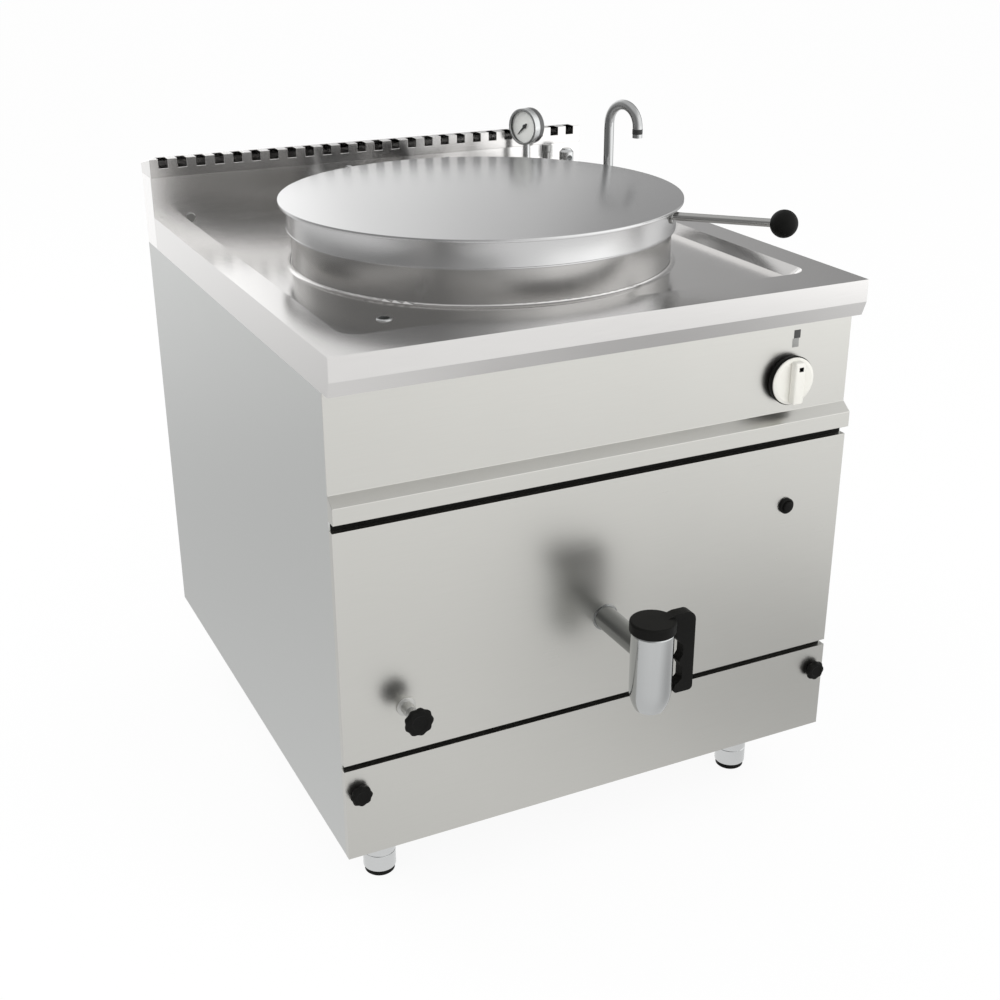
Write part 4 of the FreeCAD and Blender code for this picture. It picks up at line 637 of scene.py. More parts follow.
def swept(name: str, radius: float, route: Sequence[Run | Bend], seat: Seat, wall: float = 0.0,
          sides: int = 32) -> bpy.types.Object:
    """Draws a tube or rod along runs and bends, leaving its start along the upright axis.

    Args:
        name: The piece's name.
        radius: Outer radius.
        route: Its stretches in order.
        seat: Where its start goes.
        wall: Thickness of a tube's wall, or zero for a closed rod.
        sides: Spans round the tube.

    Returns:
        The piece.
    """
    clear_selection()
    bpy.ops.mesh.primitive_circle_add(vertices=sides, radius=radius, fill_type="NOTHING")
    piece = start_piece(name)
    heading = Vector(UP)
    spot = Vector((0.0, 0.0, 0.0))
    frame = Matrix.Identity(3)
    for stretch in route:
        if isinstance(stretch, Run):
            move = heading * stretch.length
            bpy.ops.mesh.extrude_region_move(TRANSFORM_OT_translate={"value": tuple(move)})
            spot += move
            continue
        side = frame @ Vector(stretch.side)
        axis = heading.cross(side)
        centre = spot + side * stretch.radius
        angle = math.radians(stretch.angle)
        steps = max(3, round(stretch.angle / BEND_STEP))
        bpy.ops.mesh.spin(steps=steps, angle=-angle, center=tuple(centre), axis=tuple(axis))
        turn = Matrix.Rotation(angle, 3, axis)
        spot = centre + turn @ (spot - centre)
        heading = turn @ heading
        frame = turn @ frame
    bpy.ops.mesh.select_all(action="SELECT")
    bpy.ops.mesh.remove_doubles(threshold=MERGE)
    if wall <= 0:
        bpy.ops.mesh.fill_holes(sides=0)
        bpy.ops.mesh.select_all(action="SELECT")
    bpy.ops.mesh.normals_make_consistent(inside=False)
    bpy.ops.object.mode_set(mode="OBJECT")
    if wall > 0:
        thicken = piece.modifiers.new("wall", "SOLIDIFY")
        thicken.thickness = wall
        thicken.offset = -1.0
        apply_modifiers(piece)
    return settle(piece, seat)


def apply_modifiers(piece: bpy.types.Object) -> None:
    """Applies all modifiers of a piece in order.

    Args:
        piece: The piece.
    """
    take(piece)
    for name in [modifier.name for modifier in piece.modifiers]:
        bpy.ops.object.modifier_apply(modifier=name)


def bevelled(piece: bpy.types.Object, width: float, segments: int = 3, angle: float = 30.0) -> None:
    """Rounds the sharp edges of a piece.

    Args:
        piece: The piece.
        width: Width of the rounding.
        segments: Spans across it.
        angle: Sharpness in degrees from which an edge is rounded.
    """
    rounding = piece.modifiers.new("rounding", "BEVEL")
    rounding.width = width
    rounding.segments = segments
    rounding.limit_method = "ANGLE"
    rounding.angle_limit = math.radians(angle)
    rounding.harden_normals = False
    rounding.use_clamp_overlap = True
    apply_modifiers(piece)


def evened(piece: bpy.types.Object) -> None:
    """Lets the large faces of a smoothed piece set its shading, so that flat sheet stays flat.

    Args:
        piece: The piece.
    """
    evening = piece.modifiers.new("evening", "WEIGHTED_NORMAL")
    evening.mode = "FACE_AREA_WITH_ANGLE"
    evening.weight = 90
    evening.keep_sharp = True
    apply_modifiers(piece)


def block(name: str, low: Point3, high: Point3, rounding: float, segments: int = 3) -> bpy.types.Object:
    """A box between two corners with rounded edges.

    Args:
        name: The piece's name.
        low: Lowest corner.
        high: Highest corner.
        rounding: Radius of its edges.
        segments: Spans across each edge.

    Returns:
        The piece.
    """
    clear_selection()
    bpy.ops.mesh.primitive_cube_add(size=1.0)
    piece = start_piece(name)
    size = Vector(high) - Vector(low)
    middle = (Vector(high) + Vector(low)) / 2
    bpy.ops.transform.resize(value=tuple(size), center_override=(0, 0, 0))
    bpy.ops.transform.translate(value=tuple(middle))
    bpy.ops.mesh.bevel(offset=rounding, segments=segments, affect="EDGES", clamp_overlap=True)
    return settle(piece, Seat())


def joined(name: str, parts: Sequence[bpy.types.Object]) -> bpy.types.Object:
    """Joins several objects into one.

    Args:
        name: The new piece's name.
        parts: The objects.

    Returns:
        The piece.
    """
    take(parts[0])
    for part in parts[1:]:
        part.select_set(True)
    bpy.ops.object.join()
    piece = bpy.context.object
    piece.name = name
    return piece


def fluted(name: str, corners: Sequence[tuple[float, ...]], flutes: int, depth: float,
           seat: Seat) -> bpy.types.Object:
    """A hand knob turned from an outline, with flutes round its rim.

    Args:
        name: The piece's name.
        corners: The outline of (radius, height) corners, each with an optional fillet radius.
        flutes: Number of flutes.
        depth: How far each flute goes in.
        seat: Where the middle of its back goes.

    Returns:
        The piece.
    """
    spans = 10
    radius = max(corner[0] for corner in corners)
    rim_from = radius * 0.7
    piece = turned(name, corners, Seat(), flutes * spans)
    bpy.ops.object.mode_set(mode="EDIT")
    for phase in range(1, spans // 2 + 1):
        drop = depth * (0.5 - 0.5 * math.cos(math.tau * phase / spans))

        def in_phase(point: Vector) -> bool:
            """True where a rim point lies at this phase of its flute."""
            number = round(math.atan2(point.y, point.x) / math.tau * flutes * spans) % spans
            return min(number, spans - number) == phase and math.hypot(point.x, point.y) > rim_from

        select_points(piece, in_phase)
        factor = 1 - drop / radius
        bpy.ops.transform.resize(value=(factor, factor, 1), center_override=(0, 0, 0))
    bpy.ops.object.mode_set(mode="OBJECT")
    return settle(piece, seat, 45)


@dataclass(frozen=True)
class Shift:
    """A small move of the points of a copy that lie between two heights, behind a depth.

    Attributes:
        low: Height over which a point moves; high is the height under which it does.
        move: The move.
        behind: Depth behind which a point moves.
        squash: Share of its height over the lower one that a point keeps.
    """

    low: float
    high: float
    move: Point3 = (0.0, 0.0, 0.0)
    behind: float = -1.0
    squash: float = 1.0

    def carry_out(self, piece: bpy.types.Object) -> None:
        """Squashes the points towards the lower height and moves them, in edit mode.

        Args:
            piece: The copy in edit mode.
        """
        select_points(piece, lambda point: self.low < point.z < self.high)
        bpy.ops.mesh.hide(unselected=True)
        select_points(piece, lambda point: self.low < point.z < self.high and point.y > self.behind)
        if self.squash != 1.0:
            bpy.ops.transform.resize(value=(1, 1, self.squash), center_override=(0, 0, self.low))
        bpy.ops.transform.translate(value=self.move)
        bpy.ops.mesh.reveal(select=False)


def refined(node: str, finish: Finish, rounding: float = 0.0008, segments: int = 3, angle: float = 32.0,
            smooth: float = 40.0, shifts: Sequence[Shift] = ()) -> bpy.types.Object:
    """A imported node's copy with merged faces, rounded edges and a finish, which stands for the node.

    Args:
        node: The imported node.
        finish: Its finish.
        rounding: Width of its rounded edges.
        segments: Spans across an edge.
        angle: Sharpness in degrees from which an edge is rounded.
        smooth: Angle in degrees up to which an edge is smooth.
        shifts: Moves of some of its points.

    Returns:
        The piece.
    """
    source = bpy.data.objects[node]
    take(source)
    bpy.ops.object.duplicate(linked=False)
    piece = bpy.context.object
    body = source["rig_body"]
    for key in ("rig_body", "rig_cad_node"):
        del piece[key]
    piece.parent = None
    piece.matrix_world = Matrix.Identity(4)
    piece.name = node + ".dressed"
    bpy.ops.object.mode_set(mode="EDIT")
    bpy.ops.mesh.select_all(action="SELECT")
    bpy.ops.mesh.customdata_custom_splitnormals_clear()
    bpy.ops.mesh.remove_doubles(threshold=MERGE)
    bpy.ops.mesh.dissolve_limited(angle_limit=math.radians(0.3))
    for shift in shifts:
        shift.carry_out(piece)
    bpy.ops.object.mode_set(mode="OBJECT")
    bevelled(piece, rounding, segments, angle)
    bpy.ops.object.shade_smooth_by_angle(angle=math.radians(smooth))
    evened(piece)
    dress(piece, finish)
    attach(piece, body)
    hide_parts(node)
    log.info("%s stands for %s", piece.name, node)
    return piece


def dress(piece: bpy.types.Object, finish: Finish | bpy.types.Material) -> None:
    """Gives a piece one finish.

    Args:
        piece: The piece.
        finish: The finish, or a ready material.
    """
    material = finish.material() if isinstance(finish, Finish) else finish
    piece.data.materials.clear()
    piece.data.materials.append(material)


@dataclass
class Assembly:
    """A sub-assembly that keeps its pieces and says which body carries them."""

    frame: dict
    pieces: list[bpy.types.Object] = field(default_factory=list)

    def keep(self, piece: bpy.types.Object, finish: Finish | bpy.types.Material, body: str, *nodes: str,
             slot: str = "") -> bpy.types.Object:
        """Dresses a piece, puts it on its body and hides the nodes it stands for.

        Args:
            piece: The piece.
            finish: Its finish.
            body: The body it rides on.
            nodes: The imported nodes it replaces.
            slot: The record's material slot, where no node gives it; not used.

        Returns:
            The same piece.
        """
        dress(piece, finish)
        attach(piece, body)
        if nodes:
            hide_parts(*nodes)
        self.pieces.append(piece)
        log.info("%s rides on %s", piece.name, body)
        return piece

    def coat(self, finish: Finish, *nodes: str) -> None:
        """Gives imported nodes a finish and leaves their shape.

        Args:
            finish: The finish.
            nodes: The nodes.
        """
        for node in nodes:
            item = self.frame["nodes"][node]
            item.data.materials.clear()
            item.data.materials.append(finish.material())
            log.info("%s dressed with %s", node, finish.name)


# Studio


@dataclass
class Studio:
    """Camera, floor, surroundings and lamps.

    Attributes:
        camera_at: The camera's place.
        camera_turn: Its turn, as Euler angles.
        focal_pixels: Its focal length in pixels of a square frame of frame_pixels.
        floor_glow: Share of plain white that the camera sees in the floor.
        near_glow: Brightness of the floor in polished steel under the kettle, kept low as painted shade; it
            grows by near_rise with
        each metre, up to near_most.
        far_from: Where the mirrored floor starts to give way to the studio's sides; far_to is where it ends.
        shades: Painted shadows of the kettle on the mirrored floor, as soft dark spots: middle, reach and
            depth.
        soft_light: Strength of the even light from all round.
        ceiling: Brightness of the ceiling in polished steel; it starts at ceiling_from and is full at
            ceiling_to, as the sine of the height.
        most_above: Most brightness of the sides over the floor.
        bearings: Brightness of the sides by bearing in degrees, clockwise from the back.
        softboxes: Name, place, size and power of each lamp.
    """

    camera_at: Point3 = (-0.92378, -1.91209, 1.36723)
    camera_turn: Point3 = (1.160317, 0.001914, -0.455355)
    focal_pixels: float = 1432.943
    frame_pixels: float = 1000.0
    sensor: float = 36.0
    floor_size: float = 60.0
    floor_colour: Colour = (0.86, 0.86, 0.86)
    floor_glow: float = 0.93
    near_glow: float = 0.84
    near_rise: float = 0.10
    near_most: float = 1.06
    far_from: float = 3.4
    far_to: float = 4.2
    # Painted shadows of the kettle in the floor that polished steel mirrors
    shades: tuple[tuple[Point3, float, float], ...] = (
        ((0.72, -0.58, 0.0), 0.85, 0.24), ((0.55, -0.86, 0.0), 0.7, 0.22), ((-1.2, 1.3, 0.0), 2.6, 0.3),
    )
    soft_light: float = 0.95
    ceiling: float = 0.8
    ceiling_from: float = 0.45
    ceiling_to: float = 0.9
    most_above: float = 1.5
    brightest: float = 2.2
    bearings: tuple[tuple[float, float], ...] = (
        (-180, 1.05), (-154, 0.52), (-130, 0.30), (-107, 0.31), (-72, 0.33), (-45, 0.48), (-18, 1.1),
        (5, 1.5), (14, 1.52), (19, 1.0), (27, 0.74), (34, 0.42), (45, 0.33), (70, 0.58), (85, 1.2),
        (101, 1.75), (134, 1.85), (157, 1.57), (180, 1.05),
    )
    softboxes: tuple[tuple[str, Point3, float, float], ...] = (
        ("lamp_back_left", (-2.2, 2.6, 3.0), 2.2, 40.0),
        ("lamp_front", (1.6, -3.2, 3.4), 2.4, 60.0),
        ("lamp_left", (-3.6, -1.0, 2.6), 2.0, 25.0),
    )
    lamps_aim_at: Point3 = (0.0, 0.0, 0.5)

    def build(self) -> None:
        """Makes the whole studio."""
        self.camera()
        self.floor()
        self.surroundings()
        self.lamps()

    def camera(self) -> None:
        """Adds the camera at the photographed view."""
        data = bpy.data.cameras.new("studio_camera")
        data.sensor_width = self.sensor
        data.lens = self.focal_pixels * self.sensor / self.frame_pixels
        data.clip_start = 0.05
        data.clip_end = 100.0
        camera = bpy.data.objects.new("studio_camera", data)
        camera.location = self.camera_at
        camera.rotation_euler = self.camera_turn
        bpy.context.scene.collection.objects.link(camera)
        bpy.context.scene.camera = camera

    def floor(self) -> None:
        """Adds a white floor that keeps a soft shadow and, in polished steel, shows painted shade and painted
        shadows of the kettle.
        """
        clear_selection()
        bpy.ops.mesh.primitive_plane_add(size=self.floor_size)
        floor = bpy.context.object
        floor.name = "studio_floor"
        made = bpy.data.materials.new("studio_floor")
        made.use_nodes = True
        sheet = NodeSheet(made.node_tree)
        place = sheet.add("TexCoord").outputs["Object"]
        matt = sheet.add("BsdfDiffuse", {"Color": (*self.floor_colour, 1.0)})
        glow = sheet.add("Emission", {"Color": WHITE, "Strength": 1.0})
        mirrored = sheet.add("Emission", {"Color": WHITE, "Strength": self.mirrored_floor(sheet, place)})
        path, seen = self.rays(sheet)
        share = sheet.maths("MULTIPLY", seen, self.floor_glow)
        plain = sheet.mixed(share, matt, glow)
        mix = sheet.mixed(path.outputs["Is Glossy Ray"], plain, mirrored)
        sheet.add("OutputMaterial", {"Surface": mix.outputs[0]})
        floor.data.materials.append(made)

    def mirrored_floor(self, sheet: NodeSheet, place: bpy.types.NodeSocket) -> bpy.types.NodeSocket:
        """How bright polished steel shows the floor: darkened near the kettle by painted shade and painted
        shadows, as the studio's sides far off.

        Args:
            sheet: The sheet that uses it.
            place: A place on the floor.

        Returns:
            The brightness.
        """
        # Painted shade: the mirrored floor is darker near the kettle and brighter further out
        reach = sheet.add("VectorMath", {0: place}, operation="LENGTH").outputs["Value"]
        rising = sheet.maths("MULTIPLY_ADD", reach, self.near_rise, self.near_glow)
        near = sheet.maths("MINIMUM", rising, self.near_most)
        # Painted shadows of the kettle: soft dark spots in the floor that steel mirrors
        for spot, width, depth in self.shades:
            apart = sheet.add("VectorMath", {0: place, 1: spot}, operation="DISTANCE").outputs["Value"]
            near = sheet.maths("MULTIPLY", near, sheet.ranged(apart, 0.0, width, 1 - depth))
        far = sheet.ranged(reach, self.far_from, self.far_to)
        return sheet.between(far, near, self.bearing_glow(sheet, place))

    def bearing_glow(self, sheet: NodeSheet, way: bpy.types.NodeSocket) -> bpy.types.NodeSocket:
        """How bright the studio is towards each side, as polished steel shows it."""
        glow = sheet.add("Group", {"Way": way}, node_tree=shared_group("BearingGlow", self.bearing_group))
        return glow.outputs["Glow"]

    def rays(self, sheet: NodeSheet) -> tuple[bpy.types.Node, bpy.types.NodeSocket]:
        """Adds a light path node and tells the rays that see the studio itself.

        Args:
            sheet: The sheet that uses it.

        Returns:
            The node, and a socket that is 1 for a ray from the camera, straight or through glass.
        """
        path = sheet.add("LightPath")
        given = path.outputs
        return path, sheet.maths("MAXIMUM", given["Is Camera Ray"], given["Is Transmission Ray"])

    def bearing_group(self) -> bpy.types.NodeTree:
        """Brightness by compass bearing, clockwise from the back.

        Returns:
            The group's tree.
        """
        tree, sheet, start, end = new_group("BearingGlow", [("Way", "Vector", None)], [("Glow", "Float")])
        parts = sheet.add("SeparateXYZ", {0: start.outputs["Way"]})
        bearing = sheet.maths("ARCTAN2", parts.outputs["X"], parts.outputs["Y"])
        share = sheet.maths("MULTIPLY_ADD", bearing, 1 / math.tau, 0.5)
        ramp = sheet.add("ValToRGB", {"Fac": share})
        stops = ramp.color_ramp.elements
        ramp.color_ramp.interpolation = "EASE"
        while len(stops) > 1:
            stops.remove(stops[0])
        for index, (degrees, level) in enumerate(self.bearings):
            spot = degrees / 360 + 0.5
            stop = stops[0] if index == 0 else stops.new(spot)
            stop.position = spot
            tone = level / self.brightest
            stop.color = (tone, tone, tone, 1.0)
        glow = sheet.maths("MULTIPLY", ramp.outputs["Color"], self.brightest)
        tree.links.new(glow, end.inputs["Glow"])
        return tree

    def surroundings(self) -> None:
        """Sets the world: white to the camera, a soft studio with paler and darker sides to metal."""
        world = bpy.data.worlds.new("studio")
        world.use_nodes = True
        bpy.context.scene.world = world
        sheet = NodeSheet(world.node_tree)
        way = sheet.add("TexCoord").outputs["Generated"]
        height = sheet.add("SeparateXYZ", {0: way}).outputs["Z"]
        upward = sheet.ranged(height, self.ceiling_from, self.ceiling_to)
        around = sheet.maths("MINIMUM", self.bearing_glow(sheet, way), self.most_above)
        level = sheet.between(upward, around, self.ceiling)
        path, seen = self.rays(sheet)
        mirrored, plain, soft = (
            sheet.add("Background", {"Color": WHITE, "Strength": strength})
            for strength in (level, 1.0, self.soft_light)
        )
        mix = sheet.mixed(seen, sheet.mixed(path.outputs["Is Glossy Ray"], soft, mirrored), plain)
        sheet.add("OutputWorld", {"Surface": mix.outputs[0]})

    def lamps(self) -> None:
        """Adds the softboxes, which shape the shadows; steel mirrors the surroundings instead."""
        for name, at, size, power in self.softboxes:
            data = bpy.data.lights.new(name, "AREA")
            data.shape = "SQUARE"
            data.size = size
            data.energy = power
            lamp = bpy.data.objects.new(name, data)
            lamp.location = at
            aim = Vector(self.lamps_aim_at) - Vector(at)
            lamp.rotation_euler = aim.to_track_quat("-Z", "Y").to_euler()
            lamp.visible_glossy = False
            bpy.context.scene.collection.objects.link(lamp)


# Sub-assemblies


@dataclass
class Cabinet(Assembly):
    """Sheet panels, worktop, flue and back."""

    sheet_rounding: float = 0.9 * MM
    front_top: Shift = Shift(0.600, 0.612, (0, 0, 3 * MM))
    front_foot: Shift = Shift(0.266, 0.275, (0, 0, 1.5 * MM))
    kick_top: Shift = Shift(0.253, 0.264, (0, 0, -3 * MM))
    lower_collar: Shift = Shift(0.8351, 0.8449, squash=0.5)
    sloping_grille: Shift = Shift(0.942, 0.946, (0, 0, -14 * MM), behind=0.51)
    # Heights of the black strips that are painted shade in the front gaps
    seal_heights: tuple[tuple[str, float, float], ...] = (
        ("upper_gap_shade", 0.612, 0.6275), ("lower_gap_shade", 0.2595, 0.2690),
    )

    def build(self) -> None:
        """Rounds and dresses every sheet."""
        refined("control_panel", FRONT_STEEL, self.sheet_rounding)
        refined("front_panel", FRONT_STEEL, self.sheet_rounding, shifts=(self.front_top, self.front_foot))
        refined("kick_panel", FRONT_STEEL, self.sheet_rounding, shifts=(self.kick_top,))
        for node in ("side_panel_left", "side_panel_right"):
            refined(node, SIDE_STEEL, self.sheet_rounding)
        refined("back_panel", SIDE_STEEL, 0.4 * MM)
        refined("worktop", TOP_STEEL, 0.5 * MM, smooth=15.0, shifts=(self.lower_collar,))
        # The flue housing's paler steel is painted light
        refined("flue_housing", FLUE_STEEL_LIGHTENED, 0.5 * MM)
        refined("flue_grille", TOP_STEEL, 0.6 * MM, shifts=(self.sloping_grille,))
        self.seals()
        self.coat(BRIGHT_PLATING, "back_panel_screws")
        self.coat(DULL_FITTING, "cover_plug")
        self.coat(SATIN_PLATING, "spill_drain")

    def seals(self) -> None:
        """Adds black strips behind the gaps above and below the front panel, as painted shade that keeps the
        gaps dark.
        """
        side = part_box("side_panel_left")[0]
        reach = -side.x - 2.5 * MM
        front = side.y - 0.9 * MM
        back = side.y - 0.1 * MM
        # Painted shade: black strips that keep the gaps dark to their ends
        for name, low, high in self.seal_heights:
            strip = block(name, (-reach, front, low), (reach, back, high), 0.2 * MM, 1)
            self.keep(strip, BLACK_PLASTIC, "kettle", slot="black_plastic")


@dataclass
class Undercarriage(Assembly):
    """Base frame, legs and feet."""

    ends: tuple[str, ...] = ("front_left", "front_right", "back_left", "back_right")
    seam: float = 0.036
    wall: float = 1.5 * MM

    def build(self) -> None:
        """Dresses the frame, legs and feet."""
        refined("base_frame", FRAME_STEEL, 1.5 * MM)
        for end in self.ends:
            self.leg(end)

    def leg(self, end: str) -> None:
        """Makes one leg with its sleeve seam, and dresses its foot.

        Args:
            end: Which leg.
        """
        low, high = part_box("leg_" + end)
        middle = (low + high) / 2
        radius = (high.x - low.x) / 2
        seam = self.seam
        seat = Seat((middle.x, middle.y, 0.0))
        inner = radius - self.wall
        leg = turned(
            "leg_sleeve_" + end,
            [
                (inner, low.z), (radius, low.z, 1.2 * MM), (radius, seam - 0.6 * MM, 0.4 * MM),
                (radius - 0.8 * MM, seam), (radius, seam + 0.6 * MM, 0.4 * MM), (radius, high.z),
                (inner, high.z), (inner, low.z),
            ],
            seat, 48,
        )
        self.keep(leg, BRIGHT_PLATING, "kettle", "leg_" + end)
        self.coat(BLACK_PLASTIC, "foot_" + end)


@dataclass
class Pan(Assembly):
    """The round pan with its jacket, shroud and lagging."""

    floor: float = 0.370
    wall: float = 2.5 * MM
    corner: float = 30 * MM

    def build(self) -> None:
        """Makes the pan and dresses what is round it."""
        low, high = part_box("pan")
        middle = (low + high) / 2
        lip = (high.x - low.x) / 2
        outside = lip - 1 * MM
        inside = outside - self.wall
        floor = self.floor
        under = floor - self.wall
        brim = high.z - 4 * MM
        dish = 6 * MM
        pan = turned(
            "pan_shell",
            [
                (0, floor - dish), (inside, floor, self.corner), (inside, high.z - 0.2 * MM),
                (lip - 0.3 * MM, high.z, 0.5 * MM), (lip, brim, 0.6 * MM), (outside, brim),
                (outside, under, self.corner + self.wall), (0, under - dish),
            ],
            Seat((middle.x, middle.y, 0.0)), 144, 8,
        )
        # The pan's darker outer steel is painted shade
        self.keep(pan, PAN_STEEL_SHADED, "kettle", "pan")
        self.brighten(pan, middle, inside + 0.5 * MM, floor - dish - 1 * MM)
        self.coat(PAN_STEEL_SHADED, "steam_jacket")
        self.coat(FRAME_STEEL, "flue_shroud", "flue_duct")
        self.coat(MINERAL_WOOL, "lagging")

    def brighten(self, pan: bpy.types.Object, middle: Vector, reach: float, lowest: float) -> None:
        """Gives the pan's inner faces their own finish.

        Args:
            pan: The pan's shell.
            middle: A point on its axis.
            reach: Distance from the axis up to which a face is inside.
            lowest: Height over which a face is inside.
        """
        pan.data.materials.append(INSIDE_STEEL.material())
        take(pan)
        bpy.ops.object.mode_set(mode="EDIT")

        def inner(face: bmesh.types.BMFace) -> bool:
            """Tells a face of the inner wall or floor.

            Args:
                face: The face.

            Returns:
                True for such a face.
            """
            spot = face.calc_center_median()
            apart = math.hypot(spot.x - middle.x, spot.y - middle.y)
            outward = face.normal.x * (spot.x - middle.x) + face.normal.y * (spot.y - middle.y)
            return apart < reach and spot.z > lowest and (face.normal.z > 0.3 or outward < 0)

        select_faces(pan, inner)
        pan.active_material_index = 1
        bpy.ops.object.material_slot_assign()
        bpy.ops.object.mode_set(mode="OBJECT")


@dataclass
class Lid(Assembly):
    """Lid with its skirt, hinge, side handle and ball."""

    skirt: float = 0.293
    wall: float = 1.5 * MM
    hem: float = 0.8 * MM
    handle_angle: float = -45.0
    handle_height: float = 0.916
    handle_root: float = 0.29305
    ball_reach: float = 0.455
    ball: float = 20 * MM
    ball_rings: int = 24

    def build(self) -> None:
        """Makes the lid, hinge and handle."""
        self.disc()
        self.hinge()
        self.handle()

    def disc(self) -> None:
        """Makes the flat disc with its skirt."""
        low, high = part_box("lid")
        middle = (low + high) / 2
        outer = (high.x - low.x) / 2
        skirt = self.skirt
        inner = skirt - self.wall
        bead = skirt + self.hem
        brim = outer - self.wall
        top = high.z
        under = top - self.wall
        edge = top - 5 * MM
        disc = turned(
            "lid_disc",
            [
                (0, under), (inner, under), (inner, low.z), (bead, low.z, 0.5 * MM),
                (bead, low.z + 2.6 * MM, 0.5 * MM), (skirt, low.z + 3 * MM, 0.4 * MM),
                (skirt, under, 1.5 * MM), (brim, under, 0.4 * MM), (brim, edge), (outer, edge, 0.4 * MM),
                (outer, top, 1.2 * MM), (0, top),
            ],
            Seat((middle.x, middle.y, 0.0)), 144,
        )
        self.keep(disc, LID_STEEL, "lid", "lid")

    def hinge(self) -> None:
        """Dresses the hinge."""
        refined("lid_arms", FRAME_STEEL, 0.8 * MM)
        refined("hinge_bracket", FRAME_STEEL, 0.8 * MM)
        low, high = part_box("hinge_pin")
        radius = (high.z - low.z) / 2
        length = high.x - low.x
        pin = turned(
            "hinge_shaft",
            [(0, 0), (radius, 0, 1.2 * MM), (radius, length, 1.2 * MM), (0, length)],
            Seat((low.x, (low.y + high.y) / 2, (low.z + high.z) / 2), RIGHT), 32,
        )
        self.keep(pin, BRIGHT_PLATING, "kettle", "hinge_pin")

    def handle(self) -> None:
        """Makes the side rod with its washer, and the ball."""
        low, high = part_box("lid")
        centre = (low + high) / 2
        angle = math.radians(self.handle_angle)
        way = Vector((math.cos(angle), math.sin(angle), 0.0))
        root = self.handle_root
        start = Vector((centre.x, centre.y, self.handle_height)) + way * root
        seat = Seat(tuple(start), tuple(way))
        length = self.ball_reach - 12 * MM - root
        washer = in_mm((0, 0), (11, 0), (11, 3, 0.6), (6, 3, 0.5))
        rod = turned("handle_rod", [*washer, (6 * MM, length), (0, length)], seat, 32)
        self.keep(rod, TUBE_STEEL, "lid", "lid_handle")
        reach = self.ball_reach - root
        ball = self.ball
        rings: list[tuple[float, ...]] = [(0, reach + ball)]
        neck = math.asin(7 * MM / ball)
        for step in range(1, self.ball_rings):
            dip = step * (math.pi - neck) / (self.ball_rings - 1)
            rings.append((ball * math.sin(dip), reach + ball * math.cos(dip)))
        bore = 6.05 * MM
        depth = reach - 8 * MM
        rings += [(bore, reach - ball * math.cos(neck)), (bore, depth), (0, depth)]
        grip = turned("ball_grip", rings, seat, 48, smooth=50)
        self.keep(grip, BLACK_PLASTIC, "lid", "handle_ball")


@dataclass
class FillingSpout(Assembly):
    """Swan-neck spout, its nut and the water pipe."""

    bend: float = 33 * MM
    turn: float = -76.0
    shoulder: float = 0.992
    deck: float = 0.835

    def build(self) -> None:
        """Makes the spout and its base."""
        low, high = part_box("spout_base")
        middle = (low + high) / 2
        deck = self.deck
        base = turned(
            "spout_nut",
            in_mm(
                (6.5, -30), (8, -30), (8, 0), (17, 0), (17, 3.4, 1.2), (12.5, 6, 1), (12.5, 18), (13, 18.6),
                (13, 24, 2), (8.05, 24), (8.05, 6), (6.5, 6), (6.5, -30),
            ),
            Seat((middle.x, middle.y, deck)), 48,
        )
        self.keep(base, BRIGHT_PLATING, "kettle", "spout_base")
        start = 6.3 * MM
        turn = math.radians(self.turn)
        tube = swept(
            "spout_tube", 8 * MM,
            [Run(self.shoulder - deck - start), Bend(self.bend, 180.0), Run(16 * MM)],
            Seat((middle.x, middle.y, deck + start), UP, turn), 1.5 * MM, 40,
        )
        self.keep(tube, SPOUT_CHROME, "spout", "spout")
        end = (middle.x + 2 * self.bend * math.cos(turn), middle.y + 2 * self.bend * math.sin(turn))
        band = turned(
            "spout_band",
            in_mm((7.4, 0), (8.4, 0, 0.3), (8.4, 8, 0.3), (7.4, 8), (7.4, 0)),
            Seat((*end, self.shoulder - 10 * MM)), 40,
        )
        self.keep(band, DIAL_BLACK, "spout", slot="bright_fittings")
        self.coat(TUBE_STEEL, "water_pipe")


